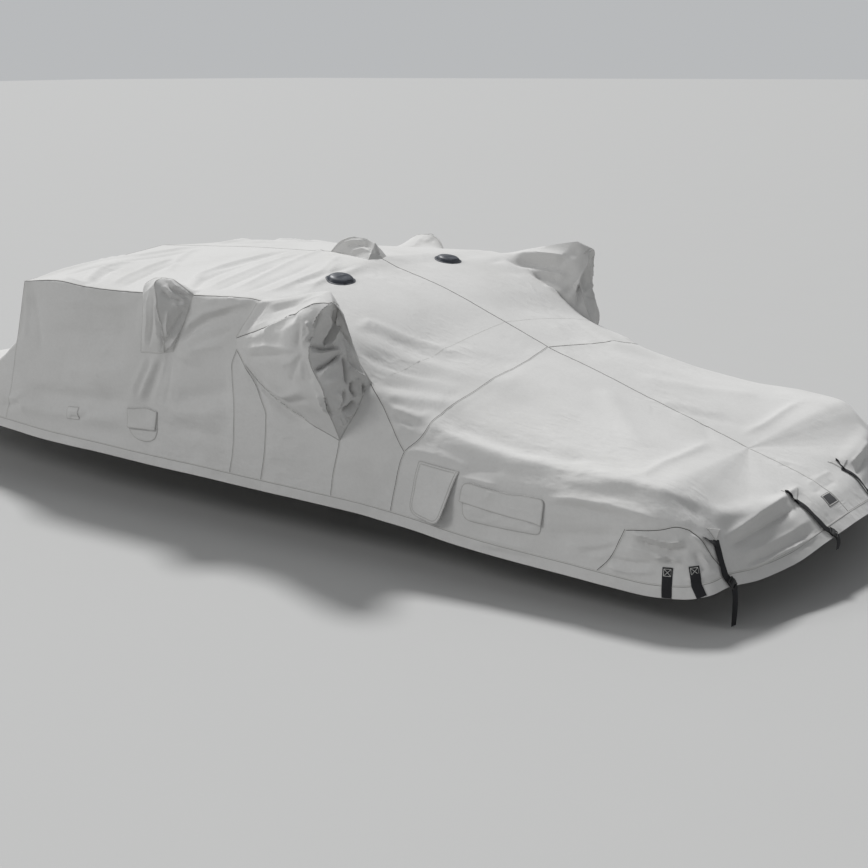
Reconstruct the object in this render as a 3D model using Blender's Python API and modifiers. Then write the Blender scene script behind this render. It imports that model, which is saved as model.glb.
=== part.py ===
"""Fitted cover for a wake boat whose tower is folded down.

The cover is cut as a boat is lofted: a row for each section gives the hem, the rail, the edge of the deck or
roof and the ridge, and smooth curves run through them.  A place on the cloth is then (station, girth), with
girth 0 on the ridge, 1 on the edge, 2 on the rail, 3 on the hem seam and 4 on the hem's lower edge.  Panels
are blocks of that surface between the sewn seams; the pockets over the tower are lofted between seams of
their own.  Both sides are cut alike, so the port side is made first and the starboard side mirrors it.

Metres, +X aft, +Y starboard, +Z up.  Sections are measured from the middle of the transom hem, and the empty
that carries every piece puts the frame's origin under the roof, where the boat holds the cover up.
"""

import math

import bmesh
import bpy
import numpy as np
from mathutils import Matrix, Vector
from mathutils.bvhtree import BVHTree

# --- driving dimensions -------------------------------------------------------------------------------------
SUPPORT = (-3.600, 0.0, 1.231)      # where the boat holds the roof up, from the transom hem
CLOTH = 0.0020                      # acrylic canvas with its turned seams
SEAM_GAP = 0.0003                   # between neighbouring panels
HEM_DEPTH = 0.060                   # band below the hem seam
TRIM_LIFT = 0.0004                  # a flap or strap above the cloth that it is sewn to
FLAP_CLOTH = 0.0015
WEBBING = 0.0025
WELD = 5e-6                         # points nearer than this are one point

RIDGE, EDGE, RAIL, SEAM, HEM = 0.0, 1.0, 2.0, 3.0, 4.0

# --- sections -----------------------------------------------------------------------------------------------
# Half breadths are positive; crown lifts the cloth between ridge and edge; the two turns are how far, in
# girth, the cloth rounds the edge and the rail.
SECTION_COLUMNS = ("station", "hem_x", "hem_y", "hem_z", "rail_x", "rail_y", "rail_z",
                   "edge_x", "edge_y", "edge_z", "ridge_x", "ridge_z", "crown", "edge_turn", "rail_turn")

BODY_SECTIONS = (
    (-4.82, -5.030, 1.235, 0.160, -4.950, 1.222, 0.430, -4.820, 1.170, 1.084, -4.820, 1.184, 0.000, 0.00, 0.00),
    (-4.50, -4.560, 1.262, 0.140, -4.530, 1.245, 0.560, -4.500, 1.185, 1.116, -4.500, 1.203, 0.020, 0.02, 0.25),
    (-4.20, -4.200, 1.280, 0.137, -4.200, 1.255, 0.620, -4.200, 1.195, 1.098, -4.200, 1.216, 0.025, 0.02, 0.30),
    (-3.80, -3.800, 1.288, 0.129, -3.800, 1.262, 0.620, -3.800, 1.200, 1.105, -3.800, 1.230, 0.025, 0.02, 0.30),
    (-3.33, -3.330, 1.290, 0.122, -3.330, 1.266, 0.620, -3.330, 1.200, 1.127, -3.330, 1.238, 0.020, 0.02, 0.30),
    (-3.02, -3.020, 1.290, 0.114, -3.020, 1.267, 0.610, -3.020, 1.200, 1.138, -3.020, 1.226, 0.010, 0.03, 0.30),
    (-2.87, -2.870, 1.290, 0.111, -2.870, 1.268, 0.600, -2.870, 1.200, 1.135, -2.870, 1.178, 0.000, 0.06, 0.30),
    (-2.60, -2.600, 1.290, 0.105, -2.600, 1.270, 0.570, -2.600, 1.170, 1.030, -2.600, 1.105, 0.010, 0.12, 0.30),
    (-2.42, -2.420, 1.290, 0.101, -2.420, 1.270, 0.540, -2.420, 1.150, 0.930, -2.420, 1.045, 0.020, 0.18, 0.30),
    (-2.20, -2.200, 1.290, 0.096, -2.200, 1.268, 0.500, -2.200, 1.155, 0.775, -2.200, 0.958, 0.025, 0.22, 0.30),
    (-2.00, -2.000, 1.290, 0.083, -2.000, 1.262, 0.460, -2.000, 1.150, 0.700, -2.000, 0.879, 0.035, 0.25, 0.30),
    (-1.80, -1.800, 1.290, 0.066, -1.800, 1.256, 0.410, -1.800, 1.135, 0.645, -1.800, 0.798, 0.040, 0.25, 0.30),
    (-1.55, -1.550, 1.290, 0.037, -1.550, 1.252, 0.365, -1.550, 1.135, 0.585, -1.550, 0.721, 0.035, 0.25, 0.30),
    (-1.25, -1.250, 1.290, 0.017, -1.250, 1.250, 0.348, -1.250, 1.135, 0.545, -1.250, 0.617, 0.025, 0.25, 0.30),
    (-0.95, -0.950, 1.288, 0.005, -0.950, 1.250, 0.356, -0.950, 1.135, 0.518, -0.950, 0.518, 0.015, 0.25, 0.30),
    (-0.70, -0.700, 1.285, -.009, -0.700, 1.250, 0.350, -0.700, 1.132, 0.495, -0.660, 0.420, 0.005, 0.25, 0.30),
    (-0.52, -0.520, 1.278, -.018, -0.520, 1.232, 0.333, -0.520, 1.105, 0.477, -0.610, 0.400, 0.000, 0.25, 0.30),
    (-0.34, -0.340, 1.248, -.008, -0.385, 1.180, 0.312, -0.435, 1.045, 0.435, -0.600, 0.397, 0.000, 0.25, 0.30),
    (-0.18, -0.232, 1.190, 0.016, -0.300, 1.100, 0.265, -0.360, 0.945, 0.375, -0.600, 0.397, 0.000, 0.25, 0.30),
    ( 0.00, -0.190, 1.070, 0.032, -0.245, 1.000, 0.225, -0.300, 0.850, 0.330, -0.600, 0.397, 0.000, 0.25, 0.30),
    ( 0.22, -0.135, 0.880, 0.020, -0.205, 0.820, 0.205, -0.270, 0.690, 0.306, -0.600, 0.397, 0.000, 0.25, 0.30),
    ( 0.50, -0.075, 0.620, 0.032, -0.175, 0.570, 0.210, -0.275, 0.480, 0.304, -0.600, 0.397, 0.000, 0.25, 0.30),
    ( 0.80, -0.025, 0.340, 0.078, -0.150, 0.310, 0.228, -0.295, 0.260, 0.304, -0.600, 0.397, 0.000, 0.25, 0.30),
    ( 1.15,  0.000, 0.000, 0.104, -0.140, 0.000, 0.232, -0.310, 0.000, 0.307, -0.600, 0.397, 0.000, 0.25, 0.30),
)
BOW_SECTIONS = (
    (-7.60, -6.920, 0.000, 0.105, -6.890, 0.000, 0.200, -6.740, 0.000, 0.245, -6.250, 0.375, 0.000, 0.20, 0.25),
    (-7.35, -6.900, 0.270, 0.105, -6.870, 0.260, 0.200, -6.730, 0.210, 0.243, -6.250, 0.375, 0.000, 0.20, 0.25),
    (-7.10, -6.820, 0.540, 0.110, -6.790, 0.520, 0.203, -6.670, 0.430, 0.247, -6.250, 0.375, 0.000, 0.20, 0.25),
    (-6.85, -6.660, 0.770, 0.118, -6.630, 0.740, 0.208, -6.540, 0.630, 0.255, -6.250, 0.375, 0.000, 0.20, 0.25),
    (-6.60, -6.420, 0.930, 0.128, -6.400, 0.905, 0.222, -6.350, 0.800, 0.272, -6.250, 0.375, 0.000, 0.20, 0.25),
    (-6.30, -6.140, 1.035, 0.140, -6.130, 1.010, 0.240, -6.100, 0.910, 0.300, -6.150, 0.405, 0.000, 0.20, 0.25),
    (-5.90, -5.850, 1.100, 0.150, -5.850, 1.078, 0.265, -5.850, 1.000, 0.345, -5.860, 0.490, 0.000, 0.20, 0.25),
    (-5.50, -5.500, 1.170, 0.158, -5.500, 1.150, 0.310, -5.500, 1.090, 0.430, -5.500, 0.620, 0.010, 0.15, 0.20),
    (-5.15, -5.240, 1.210, 0.160, -5.200, 1.195, 0.370, -5.130, 1.160, 0.575, -5.160, 0.765, 0.010, 0.08, 0.12),
    (-4.82, -5.030, 1.235, 0.160, -4.950, 1.222, 0.430, -4.8928, 1.19912, 0.71776, -4.900, 0.860,
     0.000, 0.00, 0.00),
)

# --- seams on the cloth -------------------------------------------------------------------------------------
# Rows of (station, girth).
FRONT = -4.82                       # station of the panel's front seam, under the roof's front edge
STERN = 1.15                        # station of the middle of the transom
STEM = -7.60                        # station of the middle of the bow
BOW_TURN = 1.56                     # girth of the front seam where the bow's deck edge meets it
ROOF_END = (-2.896, EDGE)           # where the roof's edge seam ends on the pocket's crease
CREASE_FOOT = (-3.038, 1.40)        # forward corner of the large pocket
GORE_TIP = (-3.033, 1.53)
POCKET_FOOT = (-2.303, 2.145)       # lowest corner of the large pocket
POCKET_HEEL = (-2.200, 1.060)       # aft corner of the large pocket
DECK_CORNER = (-1.903, 1.906)       # where the slanting seam meets the transverse seam

GORE_FORE = (GORE_TIP, (-3.064, 1.70), (-3.058, 1.95), (-3.040, 2.25), (-3.045, 2.60), (-3.072, SEAM))
GORE_AFT = (GORE_TIP, (-2.940, 1.74), (-2.856, 1.96), (-2.806, 2.16), (-2.812, 2.50), (-2.845, SEAM))
POCKET_LOWER = (GORE_TIP, (-2.875, 1.80), (-2.590, 2.03), POCKET_FOOT)
SIDE_SEAM = (POCKET_FOOT, (-2.316, 2.36), (-2.345, 2.69), (-2.358, SEAM))
POCKET_BACK = (POCKET_FOOT, (-2.236, 1.66), POCKET_HEEL)
SLANT_SEAM = (POCKET_HEEL, (-2.114, 1.19), (-2.028, 1.46), (-1.941, 1.79), DECK_CORNER)
DECK_SEAM = ((-1.822, RIDGE), (-1.772, 0.30), (-1.762, 0.70), (-1.797, 1.02), (-1.830, 1.49), DECK_CORNER)
DECK_SEAM_LOW = (DECK_CORNER, (-1.916, 2.07), (-1.937, 2.44), (-1.968, SEAM))
CORNER_FORE = ((-0.640, 2.25), (-0.668, 2.47), (-0.708, 2.77), (-0.767, SEAM))
CORNER_TOP = ((-0.640, 2.25), (-0.470, 2.10), (-0.361, 1.98), (-0.300, 1.99))
CORNER_AFT = ((-0.300, 1.99), (-0.236, 2.13), (-0.126, 2.48), (-0.016, SEAM))
SMALL_POCKET_FORE = ((-3.765, EDGE), (-3.767, 1.69))
SMALL_POCKET_AFT = ((-3.379, EDGE), (-3.411, 1.20), (-3.521, 1.65))
HOOD_FORE, HOOD_CORNER, HOOD_END = (-3.379, RIDGE), (-3.020, 0.075), (-2.985, RIDGE)

# --- pocket lines, off the section surface: rows of (x, half breadth, z) --------------------------------------
POCKET_RIDGE = ((-2.700, 1.205, 1.168), (-2.470, 1.230, 1.218), (-2.330, 1.260, 1.238), (-2.262, 1.320, 1.236))
POCKET_TOP = ((-2.830, 1.290, 0.995), (-2.550, 1.345, 1.100), (-2.420, 1.375, 1.165), (-2.262, 1.320, 1.236))
POCKET_LIP = ((-2.262, 1.320, 1.236), (-2.330, 1.400, 1.120), (-2.365, 1.425, 0.930), (-2.290, 1.405, 0.730))
POCKET_INNER = ((-2.262, 1.320, 1.236), (-2.320, 1.240, 1.165), (-2.365, 1.200, 1.065), (-2.300, 1.180, 0.950))
SMALL_RIDGE_FORE = ((-3.705, 1.240, 1.165), (-3.560, 1.240, 1.232))
SMALL_RIDGE_AFT = ((-3.560, 1.240, 1.232), (-3.470, 1.232, 1.195))
SMALL_SEAM = ((-3.560, 1.240, 1.232), (-3.545, 1.330, 1.185), (-3.525, 1.335, 1.090), (-3.530, 1.305, 0.950))
HOOD_CREST = ((-3.379, 0.0, 1.262), (-3.290, 0.0, 1.312), (-3.205, 0.0, 1.338), (-3.110, 0.0, 1.334),
              (-3.035, 0.0, 1.318))

# --- main folds: a ridge (+) or trough (-) of cloth from one point to another ---------------------------------
FOLD_COLUMNS = ("x1", "y1", "z1", "x2", "y2", "z2", "half_width", "height")
FOLDS = (
    (-3.50, 1.24, 0.80, -3.72, 1.27, 0.45, 0.050, 0.012),      # from the small pocket's foot to the lower flap
    (-3.62, 1.24, 0.78, -3.86, 1.27, 0.45, 0.045, -.010),
    (-3.40, 1.22, 0.90, -2.95, 1.20, 1.10, 0.055, 0.014),      # pull between the two pockets
    (-3.45, 1.23, 0.80, -3.05, 1.22, 0.98, 0.060, -.010),
    (-3.45, 1.24, 0.72, -2.95, 1.26, 0.60, 0.080, 0.012),
    (-2.75, 1.27, 0.40, -2.42, 1.28, 0.36, 0.070, -.010),      # below the large pocket
    (-2.15, 1.10, 0.90, -1.95, 0.80, 0.86, 0.060, -.012),      # ripples off the pocket's heel
    (-2.12, 1.15, 0.74, -1.86, 1.00, 0.70, 0.040, 0.012),
    (-2.10, 1.20, 0.62, -1.84, 1.16, 0.60, 0.035, -.010),
    (-2.10, 0.98, 0.95, -1.70, 0.62, 0.78, 0.080, 0.014),
    (-2.25, 0.95, 1.02, -1.85, 0.40, 0.83, 0.090, -.010),
    (-1.72, 1.08, 0.60, -1.05, 1.10, 0.50, 0.110, -.014),      # long hollow inside the deck's edge
    (-1.50, 0.75, 0.68, -0.90, 0.95, 0.52, 0.120, -.016),
    (-1.20, 1.25, 0.36, -0.62, 1.25, 0.33, 0.045, 0.014),      # along the rail
    (-1.05, 1.27, 0.24, -0.72, 1.27, 0.20, 0.060, -.014),
    (-1.30, 0.25, 0.62, -0.92, 0.65, 0.52, 0.060, 0.010),
    (-0.30, 0.95, 0.32, -0.24, 0.45, 0.27, 0.050, 0.014),      # pucker at the straps
    (-0.18, 0.80, 0.18, -0.12, 0.50, 0.16, 0.050, -.014),
    (-0.48, 1.22, 0.16, -0.27, 1.13, 0.17, 0.040, -.010),      # corner patch
    (-0.55, 1.24, 0.22, -0.33, 1.13, 0.24, 0.035, 0.010),
    (-4.75, 0.95, 1.12, -4.05, 0.45, 1.21, 0.070, 0.010),      # slanting folds on the roof
    (-4.55, 1.05, 1.13, -3.75, 0.60, 1.20, 0.080, -.010),
    (-4.20, 1.10, 1.11, -3.40, 0.75, 1.19, 0.080, 0.012),
    (-3.75, 1.00, 1.15, -3.10, 0.55, 1.20, 0.090, -.010),
    (-3.10, 0.90, 1.16, -2.60, 0.95, 1.08, 0.100, -.012),
    (-5.40, 1.00, 0.50, -5.20, 0.40, 0.72, 0.110, -.016),
    (-6.00, 0.85, 0.36, -5.60, 0.25, 0.58, 0.120, -.016),
)
COLOURS = {                         # base colour, roughness, metallic
    "canvas": ((0.62, 0.61, 0.59, 1.0), 0.85, 0.0),
    "webbing": ((0.015, 0.015, 0.017, 1.0), 0.75, 0.0),
    "buckle": ((0.012, 0.012, 0.013, 1.0), 0.40, 0.0),
    "vent": ((0.030, 0.035, 0.045, 1.0), 0.35, 0.0),
    "tag": ((0.45, 0.45, 0.44, 1.0), 0.60, 0.0),
}
PORT, STARBOARD = -1.0, 1.0
SIDES = {"port": PORT, "starboard": STARBOARD}


# --- curves and the section surface ---------------------------------------------------------------------------
def smooth_rows(keys, rows, at):
    """Rows read at other keys on curves that pass through every row and never overshoot one."""
    step = np.diff(keys)
    slope = np.diff(rows, axis=0) / step[:, None]
    tangent = np.zeros_like(rows)
    before, after = slope[:-1], slope[1:]
    same = before * after > 0
    weight_a = (2 * step[1:] + step[:-1])[:, None]
    weight_b = (step[1:] + 2 * step[:-1])[:, None]
    mean = (weight_a + weight_b) / (weight_a / np.where(same, before, 1) + weight_b / np.where(same, after, 1))
    tangent[1:-1] = np.where(same, mean, 0)
    tangent[0], tangent[-1] = slope[0], slope[-1]
    i = np.clip(np.searchsorted(keys, at, side="right") - 1, 0, len(step) - 1)
    t = ((at - keys[i]) / step[i])[:, None]
    h = step[i][:, None]
    return ((1 + 2 * t) * (1 - t) ** 2 * rows[i] + t * (1 - t) ** 2 * h * tangent[i]
            + t * t * (3 - 2 * t) * rows[i + 1] + t * t * (t - 1) * h * tangent[i + 1])


def section_points(station, sections):
    """Ridge, edge, rail, hem seam and hem of each station, with crown and the two turns."""
    table = np.array(sections)
    row = smooth_rows(table[:, 0], table[:, 1:], station)
    hem, rail, edge = row[:, 0:3], row[:, 3:6], row[:, 6:9]
    ridge = np.stack([row[:, 9], np.zeros(len(row)), row[:, 10]], axis=1)
    rise = rail - hem
    seam = hem + HEM_DEPTH * rise / np.linalg.norm(rise, axis=1)[:, None]
    return np.stack([ridge, edge, rail, seam, hem], axis=1), row[:, 11], row[:, 12], row[:, 13]


def plain_cloth(places, sections=BODY_SECTIONS):
    """Points of the unfolded cloth, port side, at places (station, girth)."""
    station, girth = places[:, 0], places[:, 1]
    points, crown, edge_turn, rail_turn = section_points(station, sections)
    low = np.clip(np.floor(girth).astype(int), 0, 3)
    each = np.arange(len(girth))
    part = (girth - low)[:, None]
    found = points[each, low] * (1 - part) + points[each, low + 1] * part
    for corner, turn in ((1, edge_turn), (2, rail_turn)):
        past = girth - corner
        bend = np.abs(past) < turn
        width = np.where(bend, turn, 1.0)[:, None]
        before = points[:, corner] - points[:, corner - 1]
        after = points[:, corner + 1] - points[:, corner]
        past = past[:, None]
        rounded = points[:, corner] + (after * (width + past) ** 2 - before * (width - past) ** 2) / (4 * width)
        found = np.where(bend[:, None], rounded, found)
    found[:, 2] += np.where(girth < 1, 4 * crown * girth * (1 - girth), 0)
    found[:, 1] *= PORT
    return found


def fold_height(points):
    """How far the folds lift or sink the cloth at these points of the port side."""
    lift = np.zeros(len(points))
    for x1, y1, z1, x2, y2, z2, half_width, height in FOLDS:
        start, end = np.array((x1, -y1, z1)), np.array((x2, -y2, z2))
        run = end - start
        along = ((points - start) @ run) / (run @ run)
        across = np.linalg.norm(points - start - np.clip(along, 0, 1)[:, None] * run, axis=1)
        lift += height * np.exp(-((across / half_width) ** 2))
    return lift * np.clip(np.abs(points[:, 1]) / 0.2, 0, 1)


def cloth(places, sections=BODY_SECTIONS):
    """Points of the folded cloth, port side."""
    places = np.asarray(places, float).reshape(-1, 2)
    step = 0.02
    ahead = plain_cloth(places + (step, 0), sections) - plain_cloth(places - (step, 0), sections)
    down = plain_cloth(np.clip(places + (0, step), None, HEM), sections) - plain_cloth(
        np.clip(places - (0, step), RIDGE, None), sections)
    normal = np.cross(down, ahead)
    size = np.linalg.norm(normal, axis=1)[:, None]
    normal = np.where(size > 1e-9, normal / np.maximum(size, 1e-9), (0, 0, 1))
    points = plain_cloth(places, sections)
    fade = np.clip((SEAM - places[:, 1]) / 0.3, 0, 1) * np.clip(np.abs(places[:, 0] - FRONT) / 0.15, 0, 1)
    return points + normal * (fade * fold_height(points))[:, None]


def resample(rows, count, scale=(1.0, 1.0, 1.0)):
    """Points evenly along the smooth curve through rows, count + 1 of them; scale weighs each column's length."""
    rows = np.asarray(rows, float)
    if len(rows) == 2:
        return rows[0] + (rows[1] - rows[0]) * np.linspace(0, 1, count + 1)[:, None]
    weight = np.array(scale[:rows.shape[1]])
    keys = np.concatenate([[0], np.cumsum(np.linalg.norm(np.diff(rows, axis=0) * weight, axis=1))])
    fine = smooth_rows(keys, rows, np.linspace(0, keys[-1], 40 * count + 1))
    length = np.concatenate([[0], np.cumsum(np.linalg.norm(np.diff(fine, axis=0) * weight, axis=1))])
    at = np.interp(np.linspace(0, length[-1], count + 1), length, np.arange(len(fine)))
    low = np.clip(at.astype(int), 0, len(fine) - 2)
    return fine[low] + (fine[low + 1] - fine[low]) * (at - low)[:, None]


def chain(*runs):
    """One line of points from runs that follow one another."""
    return np.concatenate([runs[0]] + [run[1:] for run in runs[1:]])


def between(fore, aft, top, low):
    """A net of points inside four lines: fore and aft run down, top and low run aft."""
    across, down = len(top), len(fore)
    u = np.linspace(0, 1, across)[:, None, None]
    v = np.linspace(0, 1, down)[None, :, None]
    ruled = (1 - u) * fore[None] + u * aft[None] + (1 - v) * top[:, None] + v * low[:, None]
    corners = ((1 - u) * (1 - v) * fore[0] + u * (1 - v) * aft[0] + (1 - u) * v * fore[-1] + u * v * aft[-1])
    return ruled - corners


GIRTH_LENGTH = (1.0, 0.7)           # a step in girth is shorter than a step in station


def seam_run(rows, count):
    return resample(rows, count, GIRTH_LENGTH)


def block(fore, aft, top, low, sections=BODY_SECTIONS):
    """A net of cloth between four lines of places."""
    net = between(fore, aft, top, low)
    return cloth(net.reshape(-1, 2), sections).reshape(net.shape[:2] + (3,))


def line_at(girth, start, end, count):
    return np.stack([np.linspace(start, end, count + 1), np.full(count + 1, girth)], axis=1)


def port_rows(rows):
    return np.array([(x, PORT * y, z) for x, y, z in rows])


# --- panels of the port side ----------------------------------------------------------------------------------
ACROSS = 9                          # rows of faces from ridge to edge
CREASE = 0.92                       # girth where the roof creases up into a pocket, two rows short of the edge
WALL, BELOW = 4, 5                  # rows beside the pockets, and from there down to the hem seam
ROOF_FORE, KNUCKLE, ROOF_MID = 10, 2, 6
RIDGE_RUN, END_RUN, SLANT_RUN = 6, 6, 5
DECK_RUN, CORNER_RUN, STERN_RUN = 11, 7, 14
KNUCKLE_FORE, KNUCKLE_FOOT, KNUCKLE_AFT = -3.765, (-3.575, 1.66), -3.379
BAY_FORE, BAY_AFT = (-3.767, 1.69), (-3.521, 1.65)
GORE_LOW = -3.072, -2.845
SIDE_LOW, DECK_LOW, CORNER_LOW = -2.358, -1.968, (-0.767, -0.016)


def lifted(net, targets, first):
    """The net with columns from first on pulled up to targets, over the rows past the crease."""
    weight = np.clip((np.arange(net.shape[1]) - ACROSS + 2) / 2, 0, 1) ** 1.1
    pull = targets - net[first:first + len(targets), -1]
    net[first:first + len(targets)] += pull[:, None] * weight[None, :, None]
    return net


def down_to_hem(low):
    """The turned hem below a run of places on the hem seam."""
    return cloth(chain_rows(low)).reshape(len(low), 2, 3)


def chain_rows(low):
    """Places on the hem seam, each with the place under it on the hem's lower edge."""
    return np.stack([low, np.stack([low[:, 0], np.full(len(low), HEM)], axis=1)], axis=1).reshape(-1, 2)


def at(place):
    return cloth([place])[0]


def port_panels():
    """Nets of cloth for each panel of the port side; in each, columns run aft and rows run down."""
    tip = port_rows(POCKET_RIDGE)[-1]
    crease = cloth(seam_run((ROOF_END, CREASE_FOOT), WALL - 1))
    ridge = resample(np.vstack([at(ROOF_END), port_rows(POCKET_RIDGE)]), RIDGE_RUN)
    top = resample(np.vstack([at(CREASE_FOOT), port_rows(POCKET_TOP)]), RIDGE_RUN)
    lip = resample(np.vstack([port_rows(POCKET_LIP), at(POCKET_FOOT)]), END_RUN)
    inner = resample(np.vstack([port_rows(POCKET_INNER), at(POCKET_HEEL)]), END_RUN)

    knuckle_edge = np.vstack([
        resample(np.vstack([at((KNUCKLE_FORE, EDGE)), port_rows(SMALL_RIDGE_FORE)]), KNUCKLE),
        resample(np.vstack([port_rows(SMALL_RIDGE_AFT), at((KNUCKLE_AFT, EDGE))]), KNUCKLE)[1:]])
    knuckle_seam = resample(np.vstack([port_rows(SMALL_SEAM), at(KNUCKLE_FOOT)]), WALL)

    roof_edge = chain(line_at(EDGE, FRONT, KNUCKLE_FORE, ROOF_FORE),
                      line_at(EDGE, KNUCKLE_FORE, KNUCKLE_FOOT[0], KNUCKLE),
                      line_at(EDGE, KNUCKLE_FOOT[0], KNUCKLE_AFT, KNUCKLE),
                      line_at(EDGE, KNUCKLE_AFT, ROOF_END[0], ROOF_MID))
    roof_ridge = chain(line_at(RIDGE, FRONT, HOOD_FORE[0], ROOF_FORE + 2 * KNUCKLE),
                       seam_run((HOOD_FORE, HOOD_CORNER), ROOF_MID - 2), seam_run((HOOD_CORNER, HOOD_END), 1),
                       line_at(RIDGE, HOOD_END[0], ROOF_END[0], 1))
    across_rows = np.interp(np.arange(ACROSS + 1), (0, ACROSS - 2, ACROSS), (RIDGE, CREASE, EDGE))
    across_front = np.stack([np.full(ACROSS + 1, FRONT), across_rows], axis=1)
    across_end = np.stack([np.full(ACROSS + 1, ROOF_END[0]), across_rows], axis=1)
    roof_fore = lifted(block(across_front, across_end, roof_ridge, roof_edge), knuckle_edge, ROOF_FORE)
    heel_foot = (-2.280, EDGE)
    deck_seam = seam_run(DECK_SEAM, ACROSS)
    aft_edge = chain(line_at(EDGE, ROOF_END[0], heel_foot[0], RIDGE_RUN),
                     seam_run((heel_foot, POCKET_HEEL), END_RUN), seam_run(SLANT_SEAM, SLANT_RUN))
    roof_aft = block(across_end, deck_seam,
                     line_at(RIDGE, ROOF_END[0], DECK_SEAM[0][0], RIDGE_RUN + END_RUN + SLANT_RUN), aft_edge)
    roof_aft = lifted(roof_aft, chain(ridge, inner), 0)
    strip = between(crease, np.repeat(tip[None], WALL, axis=0), ridge, top)

    front_girths = np.concatenate([np.linspace(EDGE, BOW_TURN, WALL + 1), [(BOW_TURN + 2) / 2, 2, 7 / 3, 8 / 3, SEAM]])
    front_line = np.stack([np.full(WALL + BELOW + 1, FRONT), front_girths], axis=1)
    bay_fore = chain(seam_run(SMALL_POCKET_FORE, WALL), seam_run((BAY_FORE, (BAY_FORE[0], SEAM)), BELOW))
    bay_aft = chain(seam_run(SMALL_POCKET_AFT, WALL), seam_run((BAY_AFT, (-3.500, SEAM)), BELOW))
    bay_foot = chain(seam_run((BAY_FORE, KNUCKLE_FOOT), KNUCKLE), seam_run((KNUCKLE_FOOT, BAY_AFT), KNUCKLE))
    gore_fore = seam_run(GORE_FORE, BELOW)
    gore_aft = seam_run(GORE_AFT, BELOW)
    side_end = chain(seam_run((ROOF_END, CREASE_FOOT), WALL - 1), seam_run((CREASE_FOOT, GORE_TIP), 1), gore_fore)
    low_a = line_at(SEAM, FRONT, BAY_FORE[0], ROOF_FORE)
    low_b = line_at(SEAM, BAY_FORE[0], -3.500, 2 * KNUCKLE)
    low_c = line_at(SEAM, -3.500, GORE_LOW[0], ROOF_MID)
    side_fore = [
        block(front_line, bay_fore, line_at(EDGE, FRONT, KNUCKLE_FORE, ROOF_FORE), low_a),
        block(bay_fore[WALL:], bay_aft[WALL:], bay_foot, low_b),
        block(bay_aft, side_end, line_at(EDGE, KNUCKLE_AFT, ROOF_END[0], ROOF_MID), low_c),
        down_to_hem(chain(low_a, low_b, low_c))]

    gore_low = line_at(SEAM, *GORE_LOW, 2)
    gore = [block(gore_fore, gore_aft, np.repeat([GORE_TIP], 3, axis=0).astype(float), gore_low),
            down_to_hem(gore_low)]
    pocket_lower = seam_run(POCKET_LOWER, RIDGE_RUN)
    side_seam = seam_run(SIDE_SEAM, BELOW)
    mid_low = line_at(SEAM, GORE_LOW[1], SIDE_LOW, RIDGE_RUN)
    side_mid = [block(gore_aft, side_seam, pocket_lower, mid_low), down_to_hem(mid_low)]
    pocket_back = seam_run(POCKET_BACK, WALL - 1)
    low_seam = seam_run(DECK_SEAM_LOW, BELOW)
    aft_low = line_at(SEAM, SIDE_LOW, DECK_LOW, WALL - 1 + SLANT_RUN)
    side_aft = [block(side_seam, low_seam, chain(pocket_back, seam_run(SLANT_SEAM, SLANT_RUN)), aft_low),
                down_to_hem(aft_low)]

    corner_head, corner_heel = CORNER_TOP[0], CORNER_TOP[-1]
    corner_fore, corner_aft = seam_run(CORNER_FORE, BELOW), seam_run(CORNER_AFT, BELOW)
    corner_top = seam_run(CORNER_TOP, CORNER_RUN)
    deck_line = seam_run((DECK_CORNER, corner_head), DECK_RUN)
    stern_line = seam_run((corner_heel, (STERN, RAIL)), STERN_RUN)
    centre = np.stack([np.full(ACROSS + 1, STERN), np.linspace(RIDGE, RAIL, ACROSS + 1)], axis=1)
    centre_low = np.stack([np.full(BELOW + 1, STERN), np.linspace(RAIL, SEAM, BELOW + 1)], axis=1)
    deck_ridge = chain(line_at(RIDGE, DECK_SEAM[0][0], -0.640, DECK_RUN), line_at(RIDGE, -0.640, -0.340, CORNER_RUN),
                       line_at(RIDGE, -0.340, STERN, STERN_RUN))
    low_d = line_at(SEAM, DECK_LOW, CORNER_LOW[0], DECK_RUN)
    low_e = line_at(SEAM, *CORNER_LOW, CORNER_RUN)
    low_f = line_at(SEAM, CORNER_LOW[1], STERN, STERN_RUN)
    deck = [block(deck_seam, centre, deck_ridge, chain(deck_line, corner_top, stern_line)),
            block(low_seam, corner_fore, deck_line, low_d), down_to_hem(low_d),
            block(corner_aft, centre_low, stern_line, low_f), down_to_hem(low_f)]
    corner = [block(corner_fore, corner_aft, corner_top, low_e), down_to_hem(low_e)]

    bow_stations = np.interp(np.linspace(0, len(BOW_SECTIONS) - 1, 15), np.arange(len(BOW_SECTIONS)),
                             [row[0] for row in BOW_SECTIONS])
    bow_girths = np.concatenate([across_rows, [1.5, 2, 7 / 3, 8 / 3, SEAM, HEM]])
    grid = np.stack(np.meshgrid(bow_stations, bow_girths, indexing="ij"), axis=-1)
    bow = [cloth(grid.reshape(-1, 2), BOW_SECTIONS).reshape(grid.shape[:2] + (3,))]

    roof_front = cloth(across_front)
    wall_foot = cloth(across_front, BOW_SECTIONS)
    wall_middle = resample([roof_front[0], wall_foot[0]], WALL)
    front = [between(wall_middle, cloth(front_line[:WALL + 1]), roof_front, wall_foot)]

    crest_end = port_rows(HOOD_CREST)[-1]
    crest = resample(np.vstack([at(HOOD_FORE), port_rows(HOOD_CREST)[1:]]), ROOF_MID - 2)
    hood_side = resample([crest_end, at(HOOD_CORNER)], 3)
    hood_foot = cloth(seam_run((HOOD_FORE, HOOD_CORNER), ROOF_MID - 2))
    hood = [between(np.repeat(crest[:1], 4, axis=0), hood_side, crest, hood_foot),
            between(hood_side, resample([crest_end, at(HOOD_END)], 3), np.repeat(crest[-1:], 2, axis=0),
                    cloth(seam_run((HOOD_CORNER, HOOD_END), 1)))]

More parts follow.
